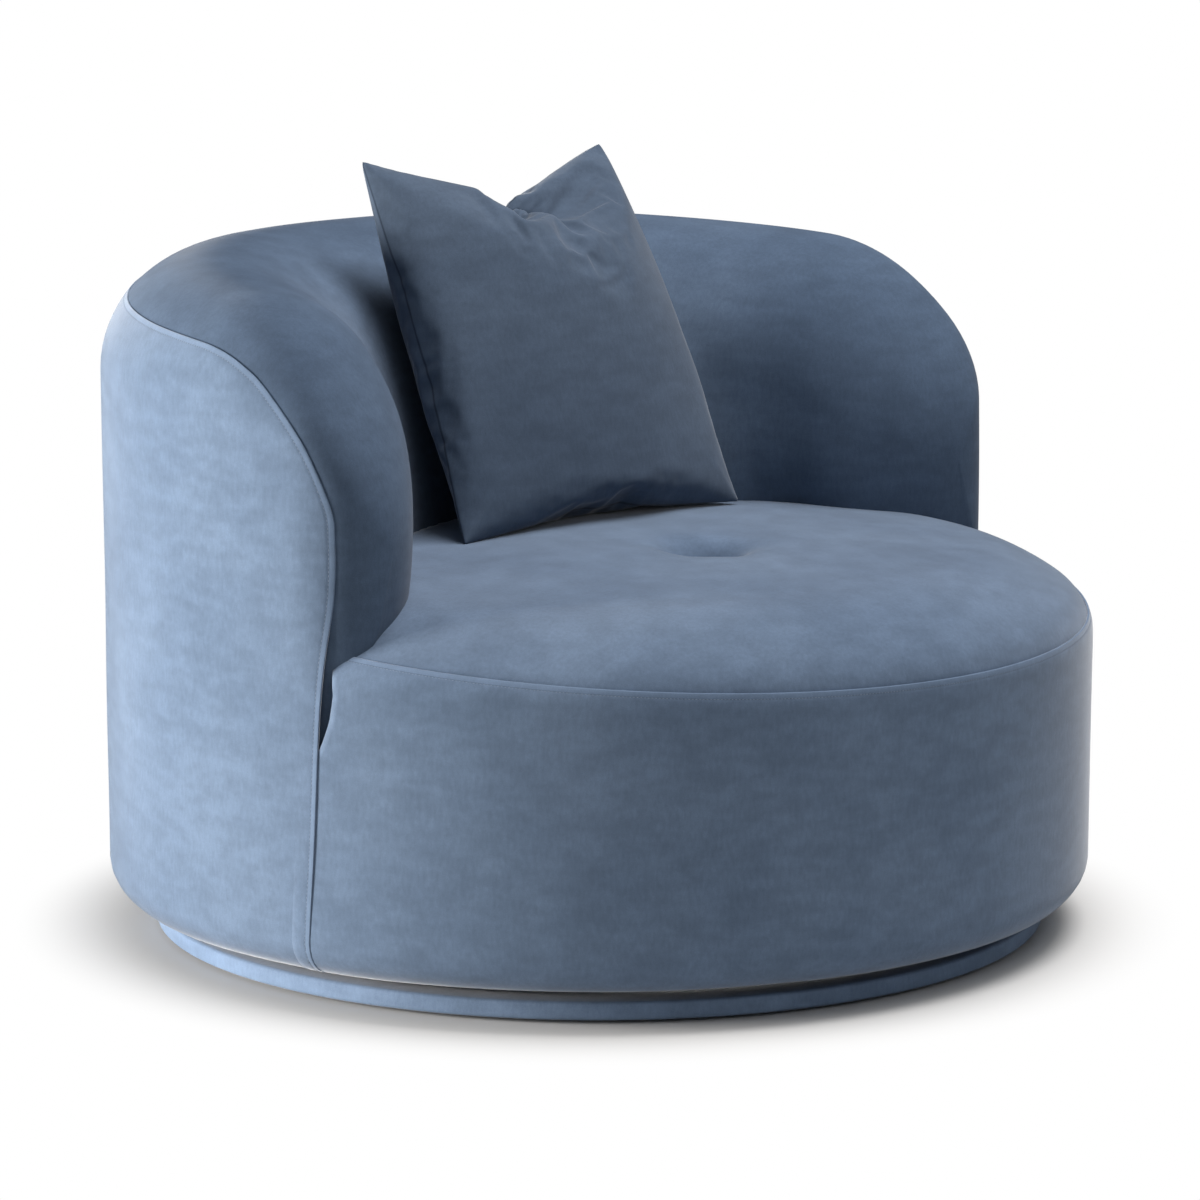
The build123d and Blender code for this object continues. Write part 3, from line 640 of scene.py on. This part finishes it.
# %% Inside back
NOSE_PASSES = 10
bmesh.ops.remove_doubles(bm, verts=bm.verts, dist=0.05)
bmesh.ops.recalc_face_normals(bm, faces=bm.faces)
for step in range(NOSE_PASSES):
    noses = [v for v in bm.verts if v.co.y < -50.0 - 4.0 * step and v[mark] > 2.2 + 0.1 * step]
    bmesh.ops.smooth_vert(bm, verts=noses, factor=0.5, use_axis_x=True, use_axis_y=True, use_axis_z=True)
bm.normal_update()
for vert in bm.verts:
    vert.co += vert.normal * (uneven(vert.co, 1.6, 0.006) - sunk.get(vert, 0.0))
inside_back = make_piece("inside_back", bm, "chair", back_velvet)
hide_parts("inside_back_cover", "back_foam")

# %% [markdown]
# ## Outside panel
# An upholsterer cuts this panel flat and wraps it round the drum. The same is done here: the seam edge is
# laid out on the flat, extruded inwards in narrow strips for the topstitched lap, then carried down to
# the lower edge. After that every vertex is wrapped round the drum, over the outside roll above and under
# the base below. Cutting the panel out of a finished drum would leave ragged faces along the seam.

# %% Wrap round the drum
TUCK_R, BASE_R, BASE_Z, UNDER_FLAP = 42.0, 506.0, 38.0, 30.0
WALL_LOW = BASE_Z + TUCK_R
BEND_LOW, BEND_HIGH = 300.0, 430.0


def drum_foot(h):
    """Radius and height below the straight wall: the tuck and the part turned under the base."""
    turn = (WALL_LOW - h) / TUCK_R
    if turn < math.pi / 2:
        return BASE_R + TUCK_R * math.cos(turn), WALL_LOW - TUCK_R * math.sin(turn)
    return BASE_R - (turn - math.pi / 2) * TUCK_R, BASE_Z


FLAT_LOW = WALL_LOW - TUCK_R * math.pi / 2 - UNDER_FLAP


def wrap_outside(a, h):
    angle = math.degrees(a / BODY_R)
    if h < WALL_LOW:
        return around_axis(angle, *drum_foot(h))
    outer, inner, crest, under = outline_sizes(angle)
    roll = OUT_ROLL * (outer - inner)
    if h <= crest - roll:
        radius = BODY_R + (outer - BODY_R) * smooth_step(BEND_LOW, BEND_HIGH, h)
        return around_axis(angle, radius, h)
    turn = (h - crest + roll) / roll
    return around_axis(angle, outer - roll + roll * math.cos(turn), crest - roll + roll * math.sin(turn))


print("panel goes down to", round(FLAT_LOW, 1), "mm on the flat")

# %% Flat panels with a lap
STITCH_IN = 6.3
LAP_STRIPS = (1.2, 3.0, 5.0, STITCH_IN, 7.6, 10.0, 15.0, 22.0)
FAR_FROM_LAP = 1000.0
CLOTH_T = 2.2


def flat_panel(run, normals, strips, far_row, rows):
    """A panel laid out flat: its edge, the lap strips and the rows down to the far edge."""
    bm = bmesh.new()
    lap = bm.verts.layers.float.new("lap")
    order = bm.verts.layers.int.new("order")
    edges = chain(bm, [(p.x, p.y, 0.0) for p in run])
    bm.verts.ensure_lookup_table()
    for index, vert in enumerate(bm.verts):
        vert[order] = index
    for strip in strips + (None,):
        grown = bmesh.ops.extrude_edge_only(bm, edges=edges)["geom"]
        edges = [item for item in grown if isinstance(item, bmesh.types.BMEdge)]
        fresh = {vert for edge in edges for vert in edge.verts}
        for vert in fresh:
            index = vert[order]
            place = far_row[index] if strip is None else run[index] + normals[index] * strip
            vert.co = (place.x, place.y, 0.0)
            vert[lap] = FAR_FROM_LAP if strip is None else strip
    last = {vert for edge in edges for vert in edge.verts}
    rays = [edge for edge in bm.edges if (edge.verts[0] in last) != (edge.verts[1] in last)]
    bmesh.ops.subdivide_edges(bm, edges=rays, cuts=rows, use_grid_fill=True)
    return bm, lap


def lap_relief(distance):
    """Height of the cloth over the form: a proud edge, the stitched channel and the flat beyond."""
    edge = 0.4 * smooth_step(-1.5, 0.8, distance)
    channel = 0.3 * math.exp(-((distance - STITCH_IN) / 0.9) ** 2)
    settle = 0.3 * smooth_step(7.0, 30.0, distance)
    return 0.4 + edge - channel - settle


def face_outwards(bm, spot):
    """Turn an open panel so that its face near this spot, in front or behind, points away from the chair."""
    bmesh.ops.recalc_face_normals(bm, faces=bm.faces)
    bm.normal_update()
    nearest = min(bm.verts, key=lambda v: (v.co - Vector(spot)).length)
    if nearest.normal.y * spot[1] < 0:
        bmesh.ops.reverse_faces(bm, faces=bm.faces)
        bm.normal_update()


def swell_panel(bm, lap, rise, size, pace, shift):
    """Lift the cloth by its lap relief, and let it be uneven away from the lap."""
    for vert in bm.verts:
        wave = uneven(vert.co, size, pace, shift) * smooth_step(10.0, 60.0, vert[lap])
        vert.co += vert.normal * (lap_relief(vert[lap]) + rise + wave)


def add_cloth(piece):
    """Give an open panel the thickness of its cloth, inwards."""
    cloth = piece.modifiers.new("cloth", "SOLIDIFY")
    cloth.thickness = CLOTH_T * MM
    cloth.offset = -1.0


print("lap stands", round(lap_relief(LAP_STRIPS[0]), 2), "mm proud")

# %% Outside panel
PANEL_ROWS = 64
PANEL_DRAW = 26.0
seam_normals = inward(seam_run)
low_half = math.copysign(abs(seam_run[0].x) - PANEL_DRAW, seam_run[0].x)
far_row = []
for index in range(len(seam_run)):
    far_row.append(Vector((low_half * (1.0 - 2.0 * (index / (len(seam_run) - 1))), FLAT_LOW)))
bm, lap = flat_panel(seam_run, seam_normals, LAP_STRIPS, far_row, PANEL_ROWS)
for vert in bm.verts:
    vert.co = wrap_outside(vert.co.x, vert.co.y)
face_outwards(bm, (0.0, BODY_R, 400.0))
swell_panel(bm, lap, 0.0, 1.4, 0.005, (7.0, 3.0, 1.0))
outside_panel = make_piece("outside_panel", bm, "chair", panel_velvet)
add_cloth(outside_panel)
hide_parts("outside_back_cover", "outside_pad")

# %% [markdown]
# ## The seat
# The seat is a tight crowned pad with one deep tuft, held down by a twine. Its plan is round in front and
# follows the hollow of the back behind. A spun net takes both: the outline of each spoke ends at the
# front wall, or at the inside of the back. A boolean cut would make the same plan, but with a poorer net.
# The tuft and the faint creases that run into it are pressed in afterwards.

# %% Seat section
SEAT_H, CROWN_R, CROWN_FALL = 442.0, 400.0, 20.0
EDGE_ROLL, EDGE_ROLL_Z, EDGE_TURN = 60.0, 330.0, math.radians(55.0)
SEAT_FOOT = 300.0
SEAT_TUCK, SEAT_TUCK_ARMS, SEAT_TUCK_NOSES = 5.0, 40.0, 400.0
NOSE_PASS = 101.0
NO_LIMIT = 1e6


def seat_profile(along):
    """Radius and height from the middle of the seat to the foot of its wall; along runs from 0 to 4."""
    roll_mid = BODY_R - LAP_UNDER - EDGE_ROLL
    end_r = roll_mid + EDGE_ROLL * math.cos(EDGE_TURN)
    end_z = EDGE_ROLL_Z + EDGE_ROLL * math.sin(EDGE_TURN)
    stretch = min(3, int(along))
    t = along - stretch
    if stretch == 0:
        return CROWN_R * t, SEAT_H - CROWN_FALL * t * t
    if stretch == 1:
        span = end_r - CROWN_R
        slope_in, slope_out = -2 * CROWN_FALL / CROWN_R * span, -span / math.tan(EDGE_TURN)
        z0, z1 = SEAT_H - CROWN_FALL, end_z
        z = ((2 * t ** 3 - 3 * t * t + 1) * z0 + (t ** 3 - 2 * t * t + t) * slope_in
             + (3 * t * t - 2 * t ** 3) * z1 + (t ** 3 - t * t) * slope_out)
        return CROWN_R + span * t, z
    if stretch == 2:
        turn = EDGE_TURN * (1.0 - t)
        return roll_mid + EDGE_ROLL * math.cos(turn), EDGE_ROLL_Z + EDGE_ROLL * math.sin(turn)
    return BODY_R - LAP_UNDER, EDGE_ROLL_Z + (SEAT_FOOT - EDGE_ROLL_Z) * t


def seat_limit(angle):
    """How far the seat reaches: to the inside of the back, or to the front wall between the arms."""
    bend = abs(angle)
    if bend >= NOSE_ANGLE:
        return NO_LIMIT
    outer, inner, crest, under = outline_sizes(bend)
    arms = SEAT_TUCK_ARMS * smooth_step(ARM_START, ARM_FULL, bend)
    noses = SEAT_TUCK_NOSES * smooth_step(NOSE_PASS, NOSE_ANGLE, bend)
    return inner + SEAT_TUCK + arms + noses


print("seat reaches", round(seat_limit(0.0)), "mm back from the axis")

# %% Spun net of the seat
CROWN_STEPS, SHOULDER_STEPS, ROLL_STEPS = 46, 14, 14
SEAT_SPOKES = 288
FLOOR_MARK = 5.0
SIDE_STEEP = 0.8
bm = bmesh.new()
mark = bm.verts.layers.float.new("along")
spoke = [step / CROWN_STEPS for step in range(CROWN_STEPS)]
spoke += [1.0 + step / SHOULDER_STEPS for step in range(SHOULDER_STEPS)]
spoke += [2.0 + step / ROLL_STEPS for step in range(ROLL_STEPS)]
spoke += [3.0, 3.5, 4.0]
edges = chain(bm, [(seat_profile(s)[0], 0.0, seat_profile(s)[1]) for s in spoke])
bm.verts.ensure_lookup_table()
for vert, along in zip(bm.verts, spoke):
    vert[mark] = along
floor_vert = bm.verts.new((0.0, 0.0, SEAT_FOOT))
floor_vert[mark] = FLOOR_MARK
bm.verts.ensure_lookup_table()
edges.append(bm.edges.new((bm.verts[len(spoke) - 1], floor_vert)))
spun(bm, edges, SEAT_SPOKES)
for vert in bm.verts:
    x, y, z = vert.co
    radius = math.hypot(x, y)
    angle = math.degrees(math.atan2(x, y)) if radius > 0.1 else 180.0
    limit = seat_limit(angle)
    if radius > limit:
        edge_z = seat_profile(min(1.0, limit / CROWN_R))[1]
        side_z = min(z, edge_z) - SIDE_STEEP * (radius - limit)
        vert.co = around_axis(angle, limit, max(SEAT_FOOT, side_z))
bm.normal_update()
print("seat net", len(bm.verts), "vertices")

# %% Seat pad with its tuft
TUFT_Y, TUFT_DEPTH, TUFT_R, TUFT_POWER = -155.0, 38.0, 38.0, 5.5
DISH_DEPTH, DISH_R = 4.0, 105.0
CREASES, CREASE_DEPTH, CREASE_AT, CREASE_WIDTH = 6.0, 0.5, 60.0, 32.0
for vert in bm.verts:
    if vert.normal.z < 0.2:
        continue
    x, y, z = vert.co
    reach = math.hypot(x, y - TUFT_Y)
    turn = math.atan2(y - TUFT_Y, x)
    dish = DISH_DEPTH * math.exp(-(reach / DISH_R) ** 2)
    dent = TUFT_DEPTH / (1.0 + (reach / TUFT_R) ** TUFT_POWER) + dish
    fade_out = math.exp(-((reach - CREASE_AT) / CREASE_WIDTH) ** 2)
    crease = CREASE_DEPTH * math.cos(CREASES * turn + 0.6) * fade_out
    vert.co.z += uneven(vert.co, 1.8, 0.007, (1.0, 9.0, 4.0)) - dent + crease
seat_pad = make_piece("seat_pad", bm, "chair", chair_velvet)
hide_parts("seat_top_cover", "seat_foam")

# %% [markdown]
# ## Front band
# The band is another flat panel. Its top edge laps over the seat and is topstitched like the arm seam. At
# each end it stands a little clear of the outside panel near the top and slips under its edge lower down.
# It could be spun with the seat in one piece, but then the lap would be only painted on.

# %% Shape of the front band
SEAM_Z, SEAM_RISE, SEAM_RUN = 345.0, 33.0, 430.0
BAND_ENDS = ((FLAT_LOW, 82.0), (90.0, 81.6), (200.0, 80.6), (262.0, 79.4), (290.0, 77.8), (312.0, 76.9),
             (338.0, 76.4), (364.0, 77.0), (395.0, 78.1))


def band_end(h):
    """Half angle of the band at this height on the flat."""
    for (low, a), (high, b) in zip(BAND_ENDS, BAND_ENDS[1:]):
        if h <= high:
            return a + (b - a) * max(0.0, h - low) / (high - low)
    return BAND_ENDS[-1][1]


def wrap_band(a, h):
    angle = math.degrees(a / BODY_R) + 180.0
    if h < WALL_LOW:
        return around_axis(angle, *drum_foot(h))
    turn = max(0.0, h - EDGE_ROLL_Z) / EDGE_ROLL
    radius = BODY_R - EDGE_ROLL + EDGE_ROLL * math.cos(turn)
    return around_axis(angle, radius, min(h, EDGE_ROLL_Z) + EDGE_ROLL * math.sin(turn))


def seat_seam(angle):
    """Flat height of the seat seam at this angle from the front."""
    turn = 0.3
    for _ in range(20):
        y = -(BODY_R - EDGE_ROLL + EDGE_ROLL * math.cos(turn)) * math.cos(math.radians(angle))
        z = SEAM_Z + SEAM_RISE * (y + BODY_R) / SEAM_RUN
        turn = math.asin(min(1.0, max(0.0, (z - EDGE_ROLL_Z) / EDGE_ROLL)))
    return EDGE_ROLL_Z + EDGE_ROLL * turn


seam_front = round(seat_seam(0.0))
seam_ends = round(seat_seam(BAND_ENDS[-1][1]))
print("seat seam at", seam_front, "mm in front,", seam_ends, "at the ends, on the flat")

# %% Front band
BAND_STEPS, BAND_ROWS = 200, 44
BAND_SINK = -0.6
top_half = BAND_ENDS[-1][1]
band_run = []
for step in range(BAND_STEPS + 1):
    angle = top_half * (2.0 * step / BAND_STEPS - 1.0)
    band_run.append(Vector((math.radians(angle) * BODY_R, seat_seam(angle))))
band_normals = inward(band_run)
far_row = [Vector((p.x, FLAT_LOW)) for p in band_run]
bm, lap = flat_panel(band_run, band_normals, LAP_STRIPS, far_row, BAND_ROWS)
for vert in bm.verts:
    a, h = vert.co.x, vert.co.y
    vert.co = wrap_band(a * band_end(h) / top_half, h)
face_outwards(bm, (0.0, -BODY_R, 200.0))
swell_panel(bm, lap, BAND_SINK, 1.2, 0.006, (2.0, 5.0, 8.0))
seat_band = make_piece("seat_band", bm, "chair", panel_velvet)
add_cloth(seat_band)
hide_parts("seat_band_cover", "band_pad")

# %% [markdown]
# ## Topstitching
# A row of short stitches holds each lap down, about six millimetres from its edge. Each stitch is one
# small rounded bead, pressed into the channel, made along the run and turned to follow it. A bump in the
# velvet would be cheaper, but it would not be there in the mesh.


# %% Stitches
STITCH_SIZE = (1.6, 0.45, 0.4, 1.0)


def stitch_row(name, run, normals, wrap, lift):
    bm = bmesh.new()
    for before, here, after, normal in zip(run, run[1:], run[2:], normals[1:]):
        for part in (0.0, 0.5):
            flat = here.lerp(after, part) + normal * STITCH_IN
            ahead = flat + (after - before).normalized()
            beside = flat + normal
            centre = wrap(flat.x, flat.y)
            along = (wrap(ahead.x, ahead.y) - centre).normalized()
            across = (wrap(beside.x, beside.y) - centre).normalized()
            up = along.cross(across).normalized()
            if up.dot(Vector((centre.x, centre.y, 200.0))) < 0:
                up = -up
            across = up.cross(along)
            turn = Matrix((along, across, up)).transposed().to_4x4()
            turn.translation = centre + up * lift
            bmesh.ops.create_uvsphere(bm, u_segments=6, v_segments=4, radius=1.0,
                                      matrix=turn @ Matrix.Diagonal(STITCH_SIZE))
    return make_piece(name, bm, "chair", stitch_thread)


stitch_thread = grained("stitch_thread", (0.10, 0.14, 0.20), (0.17, 0.22, 0.30), 2000.0, EVEN, 0.7)
panel_stitches = stitch_row("panel_stitches", seam_run, seam_normals, wrap_outside, 0.4)
band_stitches = stitch_row("band_stitches", band_run, band_normals, wrap_band, -0.2)

# %% [markdown]
# ## The pillow
# A knife-edge pillow is two flat squares sewn together and filled. A rounded box could stand in for it,
# but it has no ears and no puckers. Sewing two flat sheets and filling them with pressure in a cloth
# simulation gives both, and the drawn-in sides as well. While the bag fills, a few threads at the top
# edge are held and pulled down, as a blow with the side of the hand would do, and a short crease below
# the dent is held with them.

# %% Pillow cover, cut and sewn
PILLOW_W, PILLOW_H, PILLOW_T = 448.0, 452.0, 185.0
PILLOW_CELLS = 84
SHEET_HALF_W, SHEET_HALF_H = 0.52 * PILLOW_W, 0.52 * PILLOW_H
SHEET_BULGE = 40.0
bm = bmesh.new()
lap = bm.verts.layers.float.new("lap")
bmesh.ops.create_grid(bm, x_segments=PILLOW_CELLS, y_segments=PILLOW_CELLS, size=1.0)
upright = Matrix.Rotation(math.radians(90.0), 3, "X")
bmesh.ops.rotate(bm, cent=(0, 0, 0), matrix=upright, verts=bm.verts)
bmesh.ops.scale(bm, vec=(SHEET_HALF_W, 1.0, SHEET_HALF_H), verts=bm.verts)
copy = bmesh.ops.duplicate(bm, geom=list(bm.verts) + list(bm.edges) + list(bm.faces))["geom"]
behind = {item for item in copy if isinstance(item, bmesh.types.BMVert)}
for vert in bm.verts:
    u = vert.co.x / SHEET_HALF_W
    v = vert.co.z / SHEET_HALF_H
    bulge = SHEET_BULGE * (max(0.0, 1.0 - u * u) * max(0.0, 1.0 - v * v)) ** 0.7
    vert.co.y = bulge if vert in behind else -bulge
    vert[lap] = min(SHEET_HALF_W - abs(vert.co.x), SHEET_HALF_H - abs(vert.co.z))
bmesh.ops.remove_doubles(bm, verts=bm.verts, dist=0.5)
bmesh.ops.recalc_face_normals(bm, faces=bm.faces)
bmesh.ops.scale(bm, vec=(MM, MM, MM), verts=bm.verts)
sewn = bpy.data.meshes.new("sewn_pillow")
bm.to_mesh(sewn)
bm.free()
bag = bpy.data.objects.new("sewn_pillow", sewn)
scene.collection.objects.link(bag)
print("sewn pillow", len(sewn.vertices), "vertices")

# %% Hand blow on the top edge
CHOP_X, CHOP_DEPTH, CHOP_HOLD = 10.0, 66.0, 12.0
CREASE_LONG, CREASE_HALF = 85.0, 4.0
BLOW_START, BLOW_END = 6, 30
held_count = 0
bag.shape_key_add(name="flat")
blow = bag.shape_key_add(name="blow")
held = bag.vertex_groups.new(name="held")
for index, vert in enumerate(sewn.vertices):
    x, y, z = vert.co / MM
    right, down = x - CHOP_X, SHEET_HALF_H - z
    along = 0.75 * right + 0.66 * down
    off = abs(0.66 * right - 0.75 * down)
    if math.hypot(right, down) < CHOP_HOLD:
        grip = 1.0
        target = Vector((CHOP_X + 0.5 * right, 0.3 * y + 10.0, z - CHOP_DEPTH))
    elif y < 0.0 and 0.0 < along < CREASE_LONG and off < CREASE_HALF:
        grip = 0.8
        target = Vector((x - 6.0, y + 30.0 - 0.2 * along, z - CHOP_DEPTH + 0.35 * along))
    else:
        continue
    held.add([index], grip, "REPLACE")
    blow.data[index].co = target * MM
    held_count += 1
blow.value = 0.0
blow.keyframe_insert("value", frame=BLOW_START)
blow.value = 1.0
blow.keyframe_insert("value", frame=BLOW_END)
print("held", held_count, "points of the pillow")

# %% Filling
FILL_FRAMES = 46
cloth = bag.modifiers.new("filling", "CLOTH")
cloth.settings.quality = 7
cloth.settings.mass = 0.25
cloth.settings.tension_stiffness = 60.0
cloth.settings.compression_stiffness = 60.0
cloth.settings.shear_stiffness = 14.0
cloth.settings.bending_stiffness = 0.6
cloth.settings.use_pressure = True
cloth.settings.uniform_pressure_force = 2.2
cloth.settings.vertex_group_mass = "held"
cloth.settings.effector_weights.gravity = 0.0
cloth.collision_settings.use_collision = False
cloth.point_cache.frame_end = FILL_FRAMES
for tick in range(1, FILL_FRAMES + 1):
    scene.frame_set(tick)
filled = bpy.data.meshes.new_from_object(bag.evaluated_get(bpy.context.evaluated_depsgraph_get()))
bpy.data.objects.remove(bag)
scene.frame_set(1)
bm = bmesh.new()
bm.from_mesh(filled)
bmesh.ops.scale(bm, vec=(1000.0, 1000.0, 1000.0), verts=bm.verts)
lows = [min(v.co[i] for v in bm.verts) for i in range(3)]
highs = [max(v.co[i] for v in bm.verts) for i in range(3)]
sizes = [high - low for low, high in zip(lows, highs)]
print("filled pillow", [round(size) for size in sizes])

# %% Pillow corners
# Each corner, by its side and level, is drawn to its place across and up from the pillow's middle.
PILLOW_TIPS = {
    (-1, 1): (-183.0, 226.0),
    (1, 1): (193.0, 228.0),
    (-1, -1): (-221.0, -228.0),
    (1, -1): (222.0, -226.0),
}
middle = Vector([(high + low) / 2 for low, high in zip(lows, highs)])
bmesh.ops.translate(bm, vec=-middle, verts=bm.verts)
bmesh.ops.scale(bm, vec=(PILLOW_W / sizes[0], PILLOW_T / sizes[1], PILLOW_H / sizes[2]), verts=bm.verts)
shifts = {}
for (side, level), (x, z) in PILLOW_TIPS.items():
    tip = max(bm.verts, key=lambda v: side * v.co.x + level * v.co.z).co
    shifts[side, level] = Vector((x - tip.x, 0.0, z - tip.z))
for vert in bm.verts:
    across, up = vert.co.x / PILLOW_W, vert.co.z / PILLOW_H
    for (side, level), shift in shifts.items():
        vert.co += shift * (0.5 + side * across) * (0.5 + level * up)
print("corner shifts", [round(shift.length) for shift in shifts.values()], "mm")

# %% Pillow seam and place
SEAM_DRAW = 0.996
PILLOW_PLACE = (Matrix.Translation((34.0, 122.0, 638.0)) @ Matrix.Rotation(math.radians(-2.0), 4, "Z")
                @ Matrix.Rotation(math.radians(-24.0), 4, "X"))
lap = bm.verts.layers.float["lap"]
for vert in bm.verts:
    if vert[lap] < 0.1:
        vert.co.x *= SEAM_DRAW
        vert.co.z *= SEAM_DRAW
bmesh.ops.transform(bm, matrix=PILLOW_PLACE, verts=bm.verts)
pillow = make_piece("pillow", bm, "pillow", pillow_velvet)
softer = pillow.modifiers.new("soft", "SUBSURF")
softer.levels = softer.render_levels = 1
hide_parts("pillow_front_panel", "pillow_back_panel", "pillow_insert")

# %% [markdown]
# ## The floor
# A plain pale floor takes the soft shadow under the plinth. A white floor under strong light would bleach
# the chair too, so this one stays grey and fades to white only for the camera, a little way out from the
# plinth. The grey ring left round the plinth fades out much as the contact shadow does, so the shadow
# there is partly real and partly painted shadow.

# %% Floor
FLOOR_R = 6.0
# The grey ring round the plinth, a painted shadow on top of the real one, fades out between these radii.
SHADOW_RING_FROM, SHADOW_RING_TO = 0.49, 0.66
bm = bmesh.new()
bmesh.ops.create_circle(bm, cap_ends=True, segments=96, radius=FLOOR_R)
floor_mesh = bpy.data.meshes.new("floor")
bm.to_mesh(floor_mesh)
bm.free()
floor = bpy.data.objects.new("floor", floor_mesh)
scene.collection.objects.link(floor)
pale = bpy.data.materials.new("pale_floor")
pale.use_nodes = True
tree = pale.node_tree
shader = tree.nodes["Principled BSDF"]
shader.inputs["Base Color"].default_value = (0.6, 0.6, 0.6, 1.0)
shader.inputs["Roughness"].default_value = 0.9
place = add_node(tree, "ShaderNodeTexCoord").outputs["Object"]
length = add_node(tree, "ShaderNodeVectorMath", operation="LENGTH")
tree.links.new(place, length.inputs[0])
fade = add_node(tree, "ShaderNodeMapRange", interpolation_type="SMOOTHSTEP")
fade.inputs["From Min"].default_value = SHADOW_RING_FROM
fade.inputs["From Max"].default_value = SHADOW_RING_TO
tree.links.new(length.outputs["Value"], fade.inputs["Value"])
white = add_node(tree, "ShaderNodeEmission")
path = add_node(tree, "ShaderNodeLightPath")
seen = add_node(tree, "ShaderNodeMath", operation="MULTIPLY")
tree.links.new(path.outputs["Is Camera Ray"], seen.inputs[0])
tree.links.new(fade.outputs["Result"], seen.inputs[1])
both = add_node(tree, "ShaderNodeMixShader")
tree.links.new(seen.outputs["Value"], both.inputs["Fac"])
tree.links.new(shader.outputs["BSDF"], both.inputs[1])
tree.links.new(white.outputs["Emission"], both.inputs[2])
tree.links.new(both.outputs["Shader"], tree.nodes["Material Output"].inputs["Surface"])
floor_mesh.materials.append(pale)
print("floor", 2.0 * FLOOR_R, "m across")
